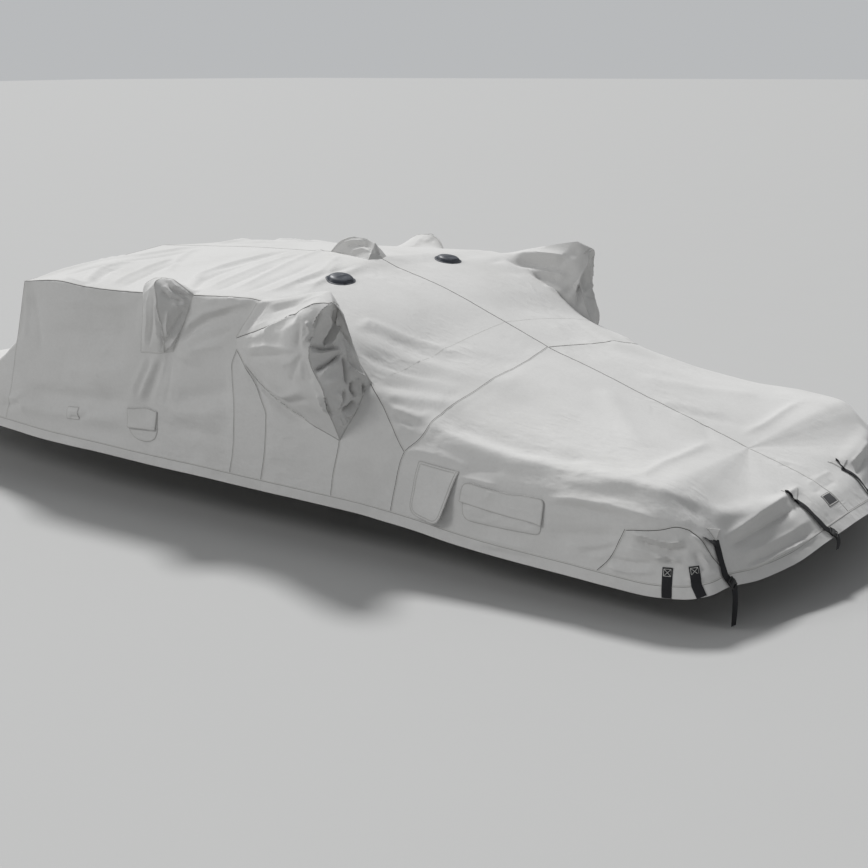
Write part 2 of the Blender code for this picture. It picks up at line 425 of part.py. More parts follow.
    pocket = [between(resample([at(CREASE_FOOT), at(GORE_TIP)], END_RUN), lip, top, cloth(pocket_lower))]
    pocket_end = [between(lip, inner, np.repeat(tip[None], WALL, axis=0), cloth(pocket_back))]
    gusset = [between(cloth(seam_run(SMALL_POCKET_FORE, WALL)), knuckle_seam, knuckle_edge[:KNUCKLE + 1],
                      cloth(bay_foot[:KNUCKLE + 1]))]
    knuckle = [between(knuckle_seam, cloth(seam_run(SMALL_POCKET_AFT, WALL)), knuckle_edge[KNUCKLE:],
                       cloth(bay_foot[KNUCKLE:]))]
    return {"roof": [roof_fore, roof_aft, strip], "bow": bow, "side_fore": side_fore, "gore": gore,
            "side_mid": side_mid, "side_aft": side_aft, "aft_deck": deck, "stern_corner": corner,
            "tower_pocket": pocket, "tower_pocket_end": pocket_end, "knuckle_gusset": gusset,
            "knuckle_pocket": knuckle, "front_wall": front, "ridge_pocket": hood}


# --- from nets to solids --------------------------------------------------------------------------------------
def gather(nets, mirrored=False):
    """Points and faces of nets, welded, each face turning outwards."""
    points, faces, index = [], [], {}
    for net in nets:
        flat = net.reshape(-1, 3) * ((1, -1, 1) if mirrored else (1, 1, 1))
        number = []
        for point in flat:
            key = tuple(np.round(point / WELD).astype(int))
            if key not in index:
                index[key] = len(points)
                points.append(point)
            number.append(index[key])
        number = np.array(number).reshape(net.shape[:2])
        for i in range(net.shape[0] - 1):
            for j in range(net.shape[1] - 1):
                ring = [number[i, j], number[i, j + 1], number[i + 1, j + 1], number[i + 1, j]]
                ring = [n for k, n in enumerate(ring) if n != ring[k - 1]]
                if len(ring) < 3:
                    continue
                ring = ring[::-1] if mirrored else ring
                faces.extend(halved(points, ring) if len(ring) == 4 else [ring])
    return np.array(points), faces


def halved(points, ring):
    """A four-sided face as two triangles across its shorter diagonal."""
    a, b, c, d = ring
    across = np.linalg.norm(points[a] - points[c]) - np.linalg.norm(points[b] - points[d])
    return [[a, b, c], [a, c, d]] if across < 1e-9 else [[b, c, d], [b, d, a]]


def joined(port, starboard):
    """One piece from its two mirrored halves, welded on the centreline."""
    points, faces = list(port[0]), list(port[1])
    index = {weld_key(point): n for n, point in enumerate(points) if abs(point[1]) < WELD}
    number = []
    for point in starboard[0]:
        number.append(index.get(weld_key(point), len(points)) if abs(point[1]) < WELD else len(points))
        if number[-1] == len(points):
            points.append(point)
    return np.array(points), faces + [[number[n] for n in ring] for ring in starboard[1]]


def weld_key(point):
    return tuple(np.round(point / (10 * WELD)).astype(int))


def shared_normals(panels):
    """A normal for each point of the whole cover, the same for every panel that meets there."""
    total = {}
    for points, faces in panels:
        for ring in faces:
            corners = points[ring]
            middle = corners.mean(axis=0)
            normal = sum(np.cross(corners[k - 1] - middle, corners[k] - middle) for k in range(len(ring)))
            normal = normal / max(np.linalg.norm(normal), 1e-12)
            for k, n in enumerate(ring):
                one, two = corners[k - 1] - corners[k], corners[(k + 1) % len(ring)] - corners[k]
                cosine = one @ two / max(np.linalg.norm(one) * np.linalg.norm(two), 1e-12)
                angle = math.acos(min(1.0, max(-1.0, cosine)))
                total[weld_key(points[n])] = total.get(weld_key(points[n]), 0) + normal * angle
    return {key: normal / np.linalg.norm(normal) for key, normal in total.items()}


def border(faces):
    """Edges that only one face has, as (from, to) with the cloth on the left."""
    edges = {}
    for ring in faces:
        for k in range(len(ring)):
            edges[(ring[k - 1], ring[k])] = True
    return [edge for edge in edges if (edge[1], edge[0]) not in edges]


def sheet_solid(points, faces, normals, thickness, gap):
    """A closed sheet under the given faces, with its border drawn back by gap."""
    drawn = points.copy()
    inward = {}
    for a, b in border(faces):
        run = (points[b] - points[a]) / np.linalg.norm(points[b] - points[a])
        for n in (a, b):
            inward.setdefault(n, []).append(np.cross(normals[n], run))
    for n, ways in inward.items():
        ways = [way / np.linalg.norm(way) for way in ways]
        together = sum(ways)
        spread = max(0.35, np.linalg.norm(together) / len(ways))
        drawn[n] = points[n] + gap * together / (np.linalg.norm(together) * spread)
    under = drawn - normals * thickness
    count = len(points)
    rings = [list(ring) for ring in faces] + [[n + count for n in ring[::-1]] for ring in faces]
    for a, b in border(faces):
        # Both cloths of a seam halve their edge faces the same way, so their edges stay parallel.
        if tuple(np.round(points[a], 4)) < tuple(np.round(points[b], 4)):
            rings += [[b, a, b + count], [a, a + count, b + count]]
        else:
            rings += [[b, a, a + count], [b, a + count, b + count]]
    return np.vstack([drawn, under]), rings


def fold_tree(panels):
    """All outer faces of the cover, to lay trim on."""
    points, faces, start = [], [], 0
    for net_points, net_faces in panels:
        points.extend(net_points)
        faces.extend([n + start for n in ring] for ring in net_faces)
        start += len(net_points)
    return BVHTree.FromPolygons([Vector(point) for point in points], faces)


def above_cloth(tree, point):
    """How far a point stands off the cloth, with the cloth's normal there."""
    place, normal, _, _ = tree.find_nearest(Vector(point))
    offset = np.array(point) - np.array(place)
    return float(offset @ np.array(normal)), np.array(place), np.array(normal)


SAMPLES = [(i / 5, j / 5) for i in range(6) for j in range(6 - i)]


def laid(tree, net, lift):
    """The net laid on the cloth: every point, and every place between points, stands off it by lift or more."""
    shape = net.shape[:2]
    base, normals = np.zeros_like(net), np.zeros_like(net)
    for i in range(shape[0]):
        for j in range(shape[1]):
            _, place, normal = above_cloth(tree, net[i, j])
            base[i, j], normals[i, j] = place, normal
    smooth = normals.copy()
    smooth[1:-1] += normals[:-2] + normals[2:]
    smooth[:, 1:-1] += normals[:, :-2] + normals[:, 2:]
    normals = smooth / np.linalg.norm(smooth, axis=2)[..., None]
    raised = base + normals * lift
    for _ in range(6):
        need = np.zeros(shape)
        for i in range(shape[0] - 1):
            for j in range(shape[1] - 1):
                a, b, c, d = raised[i, j], raised[i, j + 1], raised[i + 1, j + 1], raised[i + 1, j]
                worst = 0.0
                for corners in ((a, b, c), (a, c, d), (b, c, d), (b, d, a)):
                    for one, two in SAMPLES:
                        point = corners[0] + one * (corners[1] - corners[0]) + two * (corners[2] - corners[0])
                        worst = max(worst, lift - above_cloth(tree, point)[0])
                need[i:i + 2, j:j + 2] = np.maximum(need[i:i + 2, j:j + 2], worst)
        if need.max() < 2e-5:
            break
        raised += normals * need[..., None]
    return raised, normals


def make_object(name, points, faces, colour, collection, parent):
    mesh = bpy.data.meshes.new(name)
    mesh.from_pydata([tuple(point) for point in points], [], [tuple(int(n) for n in ring) for ring in faces])
    mesh.validate(verbose=False)
    mesh.update()
    obj = bpy.data.objects.new(name, mesh)
    collection.objects.link(obj)
    obj.parent = parent
    base, roughness, metallic = COLOURS[colour]
    material = bpy.data.materials.new(name)
    material.use_nodes = True
    shader = material.node_tree.nodes["Principled BSDF"]
    shader.inputs["Base Color"].default_value = base
    shader.inputs["Roughness"].default_value = roughness
    shader.inputs["Metallic"].default_value = metallic
    mesh.materials.append(material)
    return obj


# --- trim -----------------------------------------------------------------------------------------------------
# Outlines as fore, aft, top and low lines of (station, girth).
SIDE_TRIM = {
    "cleat_flap": ("flap", ((-3.869, 2.40),), ((-3.624, 2.40),), ((-3.869, 2.40), (-3.624, 2.40)),
                   ((-3.869, 2.40), (-3.840, 2.68), (-3.749, 2.81), (-3.655, 2.68), (-3.624, 2.40)), 6, 3),
    "hanging_flap": ("flap", ((-1.810, 1.945), (-1.850, 2.17), (-1.850, 2.78), (-1.754, 2.98)),
                     ((-1.576, 1.845), (-1.605, 2.24), (-1.627, 2.60), (-1.682, 2.90)),
                     ((-1.810, 1.945), (-1.576, 1.845)), ((-1.754, 2.98), (-1.682, 2.90)), 3, 6),
    "rounded_patch": ("flap", ((-1.506, 2.02), (-1.554, 2.37), (-1.517, 2.71)),
                      ((-1.086, 2.06), (-1.072, 2.55), (-1.103, 2.65)),
                      ((-1.506, 2.02), (-1.086, 2.06)), ((-1.517, 2.71), (-1.103, 2.65)), 5, 4),
    "corner_strap_fore": ("webbing", ((-0.447, 2.70), (-0.447, 3.96)), ((-0.393, 2.70), (-0.393, 3.96)),
                          ((-0.447, 2.70), (-0.393, 2.70)), ((-0.447, 3.96), (-0.393, 3.96)), 2, 6),
    "corner_strap_aft": ("webbing", ((-0.300, 2.64), (-0.262, 3.96)), ((-0.254, 2.64), (-0.215, 3.96)),
                         ((-0.300, 2.64), (-0.254, 2.64)), ((-0.262, 3.96), (-0.215, 3.96)), 3, 7),
}
PORT_TRIM = {
    "small_patch": ("flap", ((-4.380, 2.55), (-4.380, 2.74)), ((-4.287, 2.55), (-4.287, 2.74)),
                    ((-4.380, 2.55), (-4.287, 2.55)), ((-4.380, 2.74), (-4.287, 2.74)), 2, 2),
    "stern_tag": ("tag", ((1.020, 1.95), (1.020, 2.45)), ((1.140, 1.95), (1.140, 2.45)),
                  ((1.020, 1.95), (1.140, 1.95)), ((1.020, 2.45), (1.140, 2.45)), 2, 2),
}
# Stern straps: side, triangle's two upper corners and tip, the lower end on the cloth, and the height the
# webbing hangs down to.
STERN_STRAPS = {
    "port_outer": (PORT, (-0.200, 1.80), (-0.080, 1.70), (-0.112, 2.10), (0.020, HEM), -0.160),
    "port_inner": (PORT, (0.700, 1.10), (0.905, 1.35), (0.773, 1.70), (0.900, HEM), 0.020),
    "starboard_inner": (STARBOARD, (0.722, 1.05), (0.560, 1.31), (0.726, 1.56), (0.715, HEM), 0.010),
    "starboard_outer": (STARBOARD, (-0.200, 1.80), (-0.080, 1.70), (-0.112, 2.10), (0.020, HEM), -0.160),
}
STRAP_WIDTH = 0.036
BUCKLE = (0.046, 0.054, 0.009)      # across, along and off the webbing
VENT = (-2.870, 0.530, 0.150, 0.200, 0.032)     # x, half distance, length, width, height


def spread(lines, along, down):
    """A net of places inside a trim outline."""
    fore, aft, top, low = (np.asarray(line, float) for line in lines)
    fore = np.repeat(fore, down + 1, axis=0) if len(fore) == 1 else seam_run(fore, down)
    aft = np.repeat(aft, down + 1, axis=0) if len(aft) == 1 else seam_run(aft, down)
    return between(fore, aft, seam_run(top, along), seam_run(low, along))


def net_solid(net, normals, thickness, side):
    """A closed sheet from the laid net up to its thickness; side tells which way the net turns."""
    points, faces = gather([net], mirrored=False)
    if side > 0:
        faces = [ring[::-1] for ring in faces]
    keys = {weld_key(point): normal for point, normal in zip(net.reshape(-1, 3), normals.reshape(-1, 3))}
    up = np.array([keys[weld_key(point)] for point in points])
    count = len(points)
    rings = [[n + count for n in ring] for ring in faces] + [list(ring[::-1]) for ring in faces]
    rings += [[b + count, a + count, a, b] for a, b in border(faces)]
    return np.vstack([points, points + up * thickness]), rings


def trim_piece(tree, lines, along, down, thickness, side):
    places = spread(lines, along, down)
    net = plain_cloth(places.reshape(-1, 2)).reshape(places.shape[:2] + (3,))
    net[..., 1] *= -side
    net, normals = laid(tree, net, TRIM_LIFT)
    return net_solid(net, normals, thickness, side)


def strap_path(tree, tip, low, bottom, side):
    """Centres of the webbing from the triangle's tip over the hem and down, with the way off the cloth at each."""
    way = np.array(low, float) - np.array(tip, float)
    run = np.array(tip, float) + way * np.linspace(0.004, 1, 14)[:, None]
    points = plain_cloth(run)
    points[:, 1] *= -side
    across = np.gradient(points, axis=0)
    across /= np.linalg.norm(across, axis=1)[:, None]
    normals = np.array([above_cloth(tree, point)[2] for point in points])
    across = np.cross(normals, across)
    across /= np.linalg.norm(across, axis=1)[:, None]
    net = points[:, None] + across[:, None] * np.linspace(-0.5, 0.5, 5)[None, :, None] * STRAP_WIDTH
    net, normals = laid(tree, net, TRIM_LIFT)
    end, off = net[-1], normals[-1]
    out = off.mean(axis=0) * (1, 1, 0)
    out /= np.linalg.norm(out)
    onward = net[-1].mean(axis=0) - net[-2].mean(axis=0)
    clear = end + onward / np.linalg.norm(onward) * 0.022 + out * 0.002
    fall = clear[:, 2].mean() - bottom
    hang = np.array([clear + out * 0.003 * min(1, k) + (0, 0, -fall * k / 4) for k in range(5)])
    return np.concatenate([net, hang]), np.concatenate([normals, np.broadcast_to(out, hang.shape)])


def buckle_box(centre, along, off, size):
    """Corners and faces of a block with its underside on the webbing."""
    along, off = along / np.linalg.norm(along), off / np.linalg.norm(off)
    across = np.cross(off, along)
    across /= np.linalg.norm(across)
    off = np.cross(along, across)
    wide, long, high = size
    points = [centre + across * wide * a + along * long * b + off * high * c
              for c in (0, 1) for b in (-0.5, 0.5) for a in (-0.5, 0.5)]
    rings = [[0, 2, 3, 1], [4, 5, 7, 6], [0, 1, 5, 4], [1, 3, 7, 5], [3, 2, 6, 7], [2, 0, 4, 6]]
    return np.array(points), rings


def vent_solid(tree, side):
    """A low rounded vent box that stands on the roof."""
    x, half, long, wide, high = VENT
    columns, rows = 9, 9
    low, top = np.zeros((columns, rows, 3)), np.zeros((columns, rows, 3))
    for i, a in enumerate(np.linspace(-1, 1, columns)):
        for j, b in enumerate(np.linspace(-1, 1, rows)):
            round_a, round_b = a * math.sqrt(1 - 0.18 * b * b), b * math.sqrt(1 - 0.18 * a * a)
            place = (x + round_a * long / 2, side * half - side * round_b * wide / 2, 1.6)
            hit, _, _, _ = tree.ray_cast(Vector(place), Vector((0, 0, -1)))
            low[i, j] = np.array(hit)
            rise = 0.006 + high * (1 - abs(a) ** 4) * (1 - abs(b) ** 4)
            top[i, j] = low[i, j] + (0, 0, rise)
    low = low[:, ::-1] if side < 0 else low
    top = top[:, ::-1] if side < 0 else top
    low, _ = laid(tree, low, TRIM_LIFT)
    top[..., 2] = np.maximum(top[..., 2], low[..., 2] + 0.005)
    top[..., :2] = low[..., :2]
    points, faces = gather([low])
    index = {weld_key(point): n for n, point in enumerate(low.reshape(-1, 3))}
    upper = np.array([top.reshape(-1, 3)[index[weld_key(point)]] for point in points])
    count = len(points)
    rings = [[n + count for n in ring] for ring in faces] + [list(ring[::-1]) for ring in faces]
    rings += [[b + count, a + count, a, b] for a, b in border(faces)]
    return np.vstack([points, upper]), rings


def facing_out(points, rings):
    """The same faces, turned over if they enclose a negative volume."""
    volume = 0.0
    for ring in rings:
        corners = points[ring]
        for k in range(1, len(ring) - 1):
            volume += corners[0] @ np.cross(corners[k], corners[k + 1])
    return rings if volume > 0 else [ring[::-1] for ring in rings]


def main():
    for obj in list(bpy.data.objects):
        bpy.data.objects.remove(obj)
    collection = bpy.data.collections.new("boat_cover")
    bpy.context.scene.collection.children.link(collection)
    support = bpy.data.objects.new("boat_support", None)
    support.location = [-value for value in SUPPORT]
    collection.objects.link(support)

    pieces = {}
    for name, group in port_panels().items():
        port, starboard = gather(group), gather(group, mirrored=True)
        if name in ("front_wall", "ridge_pocket"):
            pieces[name] = joined(port, starboard)
        else:
            pieces[name + "_port"], pieces[name + "_starboard"] = port, starboard
    normals = shared_normals(pieces.values())
    tree = fold_tree(pieces.values())
    for name, (points, faces) in pieces.items():
        own = np.array([normals[weld_key(point)] for point in points])
        solid = sheet_solid(points, faces, own, CLOTH, SEAM_GAP * 0.75)
        make_object(name, *solid, "canvas", collection, support)

    for name, (kind, *lines, along, down) in list(SIDE_TRIM.items()) + list(PORT_TRIM.items()):
        for word, side in SIDES.items():
            if name in PORT_TRIM and side > 0:
                continue
            thickness = WEBBING if kind == "webbing" else FLAP_CLOTH
            points, rings = trim_piece(tree, lines, along, down, thickness, side)
            label = name if name == "stern_tag" else f"{name}_{word}"
            colour = "canvas" if kind == "flap" else kind
            make_object(label, points, facing_out(points, rings), colour, collection, support)

    for name, (side, left, right, tip, low, bottom) in STERN_STRAPS.items():
        lines = ((left, tip), (right, tip), (left, right), (tip, tip))
        points, rings = trim_piece(tree, lines, 3, 5, FLAP_CLOTH, side)
        make_object("strap_patch_" + name, points, facing_out(points, rings), "canvas", collection, support)
        net, off = strap_path(tree, tip, low, bottom, side)
        points, rings = net_solid(net, off, WEBBING, -side)
        make_object("strap_" + name, points, facing_out(points, rings), "webbing", collection, support)
        middle = net.shape[0] - 8
        centre = net[middle].mean(axis=0)
        away = off[middle].mean(axis=0)
        run = net[middle + 1].mean(axis=0) - net[middle - 1].mean(axis=0)
        top = net + off * WEBBING
        steps = np.linspace(0, 1, 9)[:, None, None, None]
        window = slice(middle - 3, middle + 3)
        dense = (top[window] + (top[middle - 2:middle + 4] - top[window]) * steps).reshape(-1, 3)
        near = np.abs((dense - centre) @ (run / np.linalg.norm(run))) < BUCKLE[1] / 2 + 0.001
        centre = centre + away * (((dense[near] - centre) @ away).max() + TRIM_LIFT)
        points, rings = buckle_box(centre, run, away, BUCKLE)
        buckle = make_object("buckle_" + name, points, facing_out(points, rings), "buckle", collection, support)
        bevel = buckle.modifiers.new("rounded", "BEVEL")
        bevel.width, bevel.segments = 0.003, 2

    for word, side in SIDES.items():
        points, rings = vent_solid(tree, side)
        make_object("vent_" + word, points, facing_out(points, rings), "vent", collection, support)


main()
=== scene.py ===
"""Fitted canvas cover for a tow-sports boat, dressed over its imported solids.

The cover is lofted from sections.  A place on the cloth is (station, girth): the station runs aft in metres,
and the girth is 0 on the ridge, 1 on the roof or deck edge, 2 on the rail, 3 on the hem seam and 4 on the
hem's lower edge.  Panels are nets of that surface between the sewn seams, and the pockets are nets between
seams of their own.  Folds, puckers and slack are then lifted or sunk along the cloth's own normals.
"""

import logging
import math
from dataclasses import dataclass, field
from enum import Enum
from typing import Any, Callable, Iterable, Sequence

import bpy
import numpy as np
from mathutils import Matrix, Vector
from mathutils.bvhtree import BVHTree
from mathutils.kdtree import KDTree


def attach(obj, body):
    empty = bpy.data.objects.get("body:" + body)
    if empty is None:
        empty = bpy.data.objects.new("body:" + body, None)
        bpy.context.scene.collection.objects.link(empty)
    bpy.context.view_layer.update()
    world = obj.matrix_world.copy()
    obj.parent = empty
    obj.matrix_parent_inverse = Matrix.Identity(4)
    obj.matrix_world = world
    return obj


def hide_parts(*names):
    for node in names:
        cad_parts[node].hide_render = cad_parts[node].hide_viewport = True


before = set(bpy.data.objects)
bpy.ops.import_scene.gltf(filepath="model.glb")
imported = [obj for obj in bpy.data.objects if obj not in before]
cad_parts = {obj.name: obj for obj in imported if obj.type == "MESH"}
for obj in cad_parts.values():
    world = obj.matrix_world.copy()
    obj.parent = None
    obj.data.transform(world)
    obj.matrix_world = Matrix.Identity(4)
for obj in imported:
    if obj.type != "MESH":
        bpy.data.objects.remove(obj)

LOG = logging.getLogger("boat_cover")
Array = np.ndarray

SUPPORT = np.array((-3.600, 0.0, 1.231))    # where the boat holds the roof up, from the middle of the transom hem
CLOTH = 0.0020                              # canvas with its turned seams
HEM_DEPTH = 0.060
TRIM_LIFT = 0.0006                          # a flap above the cloth that it is sewn to
CREASE = 0.92                               # girth where the roof creases up into a pocket
FINENESS = 7                                # rows of fine faces for each row of the plain solids
STEP = 0.02                                 # step in station or girth that a normal is found over
HEM_FADE, FRONT_FADE, RIDGE_FADE = 0.3, 0.15, 0.2    # where the main folds fade: girth, metres and metres
SAME = 2e-5                                 # points nearer than this are one point
KEY_SHIFT = 0.137                           # keeps points on round numbers off the limits between keys
RIDGE, EDGE, RAIL, SEAM, HEM = 0.0, 1.0, 2.0, 3.0, 4.0


class Side(Enum):
    """Which half of the cover a piece belongs to; the value is the sign of its y."""

    PORT = -1
    STARBOARD = 1

    @property
    def word(self) -> str:
        """The side's name as the nodes spell it."""
        return self.name.lower()


def rows_of(table: str) -> list[list[float]]:
    """Numbers of each row of a table, whose headings start with #."""
    return [[float(word) for word in row.split()] for row in table.split("\n") if row and row[0] != "#"]


# --- sections of the cover ------------------------------------------------------------------------------------
# station, hem xyz, rail xyz, edge xyz, ridge xz, crown, edge turn, rail turn
BODY_ROWS = rows_of("""
-4.82 -5.03 1.235 0.16 -4.95 1.222 0.43 -4.82 1.17 1.084 -4.82 1.184 0 0 0
-4.5 -4.56 1.262 0.14 -4.53 1.245 0.56 -4.5 1.185 1.116 -4.5 1.203 0.02 0.02 0.25
-4.2 -4.2 1.28 0.137 -4.2 1.255 0.62 -4.2 1.195 1.098 -4.2 1.216 0.025 0.02 0.3
-3.8 -3.8 1.288 0.129 -3.8 1.262 0.62 -3.8 1.2 1.105 -3.8 1.23 0.025 0.02 0.3
-3.33 -3.33 1.29 0.122 -3.33 1.266 0.62 -3.33 1.2 1.127 -3.33 1.238 0.02 0.02 0.3
-3.02 -3.02 1.29 0.114 -3.02 1.267 0.61 -3.02 1.2 1.138 -3.02 1.226 0.01 0.03 0.3
-2.87 -2.87 1.29 0.111 -2.87 1.268 0.6 -2.87 1.2 1.135 -2.87 1.178 0 0.06 0.3
-2.6 -2.6 1.29 0.105 -2.6 1.27 0.57 -2.6 1.17 1.03 -2.6 1.105 0.01 0.12 0.3
-2.42 -2.42 1.29 0.101 -2.42 1.27 0.54 -2.42 1.15 0.93 -2.42 1.045 0.02 0.18 0.3
-2.2 -2.2 1.29 0.096 -2.2 1.268 0.5 -2.2 1.155 0.775 -2.2 0.958 0.025 0.22 0.3
-2 -2 1.29 0.083 -2 1.262 0.46 -2 1.15 0.7 -2 0.879 0.035 0.25 0.3
-1.8 -1.8 1.29 0.066 -1.8 1.256 0.41 -1.8 1.135 0.645 -1.8 0.798 0.04 0.25 0.3
-1.55 -1.55 1.29 0.037 -1.55 1.252 0.365 -1.55 1.135 0.585 -1.55 0.721 0.035 0.25 0.3
-1.25 -1.25 1.29 0.017 -1.25 1.25 0.348 -1.25 1.135 0.545 -1.25 0.617 0.025 0.25 0.3
-0.95 -0.95 1.288 0.005 -0.95 1.25 0.356 -0.95 1.135 0.518 -0.95 0.518 0.015 0.25 0.3
-0.7 -0.7 1.285 -0.009 -0.7 1.25 0.35 -0.7 1.132 0.495 -0.66 0.42 0.005 0.25 0.3
-0.52 -0.52 1.278 -0.018 -0.52 1.232 0.333 -0.52 1.105 0.477 -0.61 0.4 0 0.25 0.3
-0.34 -0.34 1.248 -0.008 -0.385 1.18 0.312 -0.435 1.045 0.435 -0.6 0.397 0 0.25 0.3
-0.18 -0.232 1.19 0.016 -0.3 1.1 0.265 -0.36 0.945 0.375 -0.6 0.397 0 0.25 0.3
0 -0.19 1.07 0.032 -0.245 1 0.225 -0.3 0.85 0.33 -0.6 0.397 0 0.25 0.3
0.22 -0.135 0.88 0.02 -0.205 0.82 0.205 -0.27 0.69 0.306 -0.6 0.397 0 0.25 0.3
0.5 -0.075 0.62 0.032 -0.175 0.57 0.21 -0.275 0.48 0.304 -0.6 0.397 0 0.25 0.3
0.8 -0.025 0.34 0.078 -0.15 0.31 0.228 -0.295 0.26 0.304 -0.6 0.397 0 0.25 0.3
1.15 0 0 0.104 -0.14 0 0.232 -0.31 0 0.307 -0.6 0.397 0 0.25 0.3
""")
BOW_ROWS = rows_of("""
-7.6 -6.92 0 0.105 -6.89 0 0.2 -6.74 0 0.245 -6.25 0.375 0 0.2 0.25
-7.35 -6.9 0.27 0.105 -6.87 0.26 0.2 -6.73 0.21 0.243 -6.25 0.375 0 0.2 0.25
-7.1 -6.82 0.54 0.11 -6.79 0.52 0.203 -6.67 0.43 0.247 -6.25 0.375 0 0.2 0.25
-6.85 -6.66 0.77 0.118 -6.63 0.74 0.208 -6.54 0.63 0.255 -6.25 0.375 0 0.2 0.25
-6.6 -6.42 0.93 0.128 -6.4 0.905 0.222 -6.35 0.8 0.272 -6.25 0.375 0 0.2 0.25
-6.3 -6.14 1.035 0.14 -6.13 1.01 0.24 -6.1 0.91 0.3 -6.15 0.405 0 0.2 0.25
-5.9 -5.85 1.1 0.15 -5.85 1.078 0.265 -5.85 1 0.345 -5.86 0.49 0 0.2 0.25
-5.5 -5.5 1.17 0.158 -5.5 1.15 0.31 -5.5 1.09 0.43 -5.5 0.62 0.01 0.15 0.2
-5.15 -5.24 1.21 0.16 -5.2 1.195 0.37 -5.13 1.16 0.575 -5.16 0.765 0.01 0.08 0.12
-4.82 -5.03 1.235 0.16 -4.95 1.222 0.43 -4.8928 1.19912 0.71776 -4.9 0.86 0 0 0
""")

# --- seams, rows of (station, girth) --------------------------------------------------------------------------
FRONT, STERN, BOW_TURN, BAY_LOW, STERN_TURN = -4.82, 1.15, 1.56, -3.500, -0.340
ROOF_END, CREASE_FOOT, GORE_TIP = (-2.896, EDGE), (-3.038, 1.40), (-3.033, 1.53)
POCKET_FOOT, POCKET_HEEL, HEEL_FOOT, DECK_CORNER = (-2.303, 2.145), (-2.200, 1.060), (-2.280, EDGE), (-1.903, 1.906)
CORNER_FORE, CORNER_AFT = (-0.640, 2.25), (-0.300, 1.99)
KNUCKLE_FORE, KNUCKLE_FOOT, KNUCKLE_AFT = -3.765, (-3.575, 1.66), -3.379
BAY_FORE, BAY_AFT = (-3.767, 1.69), (-3.521, 1.65)
HOOD_FORE, HOOD_CORNER, HOOD_END = (-3.379, RIDGE), (-3.020, 0.075), (-2.985, RIDGE)
GORE_LOW, SIDE_LOW, DECK_LOW, CORNER_LOW = (-3.072, -2.845), -2.358, -1.968, (-0.767, -0.016)
DECK_SEAM = ((-1.822, RIDGE), (-1.772, 0.30), (-1.762, 0.70), (-1.797, 1.02), (-1.830, 1.49), DECK_CORNER)

# rows of the plain solids along each run
ROWS = {"one": 1, "gore": 2, "knuckle": 2, "crease": 3, "hood": 3, "wall": 4, "crest": 4, "below": 5, "slant": 5,
        "end": 6, "ridge": 6, "roof_mid": 6, "bow_girth": 6, "corner": 7, "across": 9, "girth": 9, "roof_fore": 10,
        "deck": 11, "stern": 14, "bow": 14}
# a run, and the places that its line curves through
CURVES = {
    "crease": ("crease", ROOF_END, CREASE_FOOT), "crease_low": ("one", CREASE_FOOT, GORE_TIP),
    "gore_fore": ("below", GORE_TIP, (-3.064, 1.70), (-3.058, 1.95), (-3.040, 2.25), (-3.045, 2.60), (-3.072, SEAM)),
    "gore_aft": ("below", GORE_TIP, (-2.940, 1.74), (-2.856, 1.96), (-2.806, 2.16), (-2.812, 2.50), (-2.845, SEAM)),
    "pocket_lower": ("ridge", GORE_TIP, (-2.875, 1.80), (-2.590, 2.03), POCKET_FOOT),
    "side": ("below", POCKET_FOOT, (-2.316, 2.36), (-2.345, 2.69), (-2.358, SEAM)),
    "pocket_back": ("crease", POCKET_FOOT, (-2.236, 1.66), POCKET_HEEL), "heel": ("end", HEEL_FOOT, POCKET_HEEL),
    "slant": ("slant", POCKET_HEEL, (-2.114, 1.19), (-2.028, 1.46), (-1.941, 1.79), DECK_CORNER),
    "deck_low": ("below", DECK_CORNER, (-1.916, 2.07), (-1.937, 2.44), (-1.968, SEAM)),
    "corner_fore": ("below", CORNER_FORE, (-0.668, 2.47), (-0.708, 2.77), (-0.767, SEAM)),
    "corner_top": ("corner", CORNER_FORE, (-0.470, 2.10), (-0.361, 1.98), CORNER_AFT),
    "corner_aft": ("below", CORNER_AFT, (-0.236, 2.13), (-0.126, 2.48), (-0.016, SEAM)),
    "knuckle_fore": ("wall", (KNUCKLE_FORE, EDGE), BAY_FORE),
    "knuckle_aft": ("wall", (KNUCKLE_AFT, EDGE), (-3.411, 1.20), BAY_AFT),
    "foot_fore": ("knuckle", BAY_FORE, KNUCKLE_FOOT), "foot_aft": ("knuckle", KNUCKLE_FOOT, BAY_AFT),
    "bay_fore": ("below", BAY_FORE, (BAY_FORE[0], SEAM)), "bay_aft": ("below", BAY_AFT, (BAY_LOW, SEAM)),
    "hood_foot": ("crest", HOOD_FORE, HOOD_CORNER), "hood_end": ("one", HOOD_CORNER, HOOD_END),
    "deck_line": ("deck", DECK_CORNER, CORNER_FORE), "stern_line": ("stern", CORNER_AFT, (STERN, RAIL))}
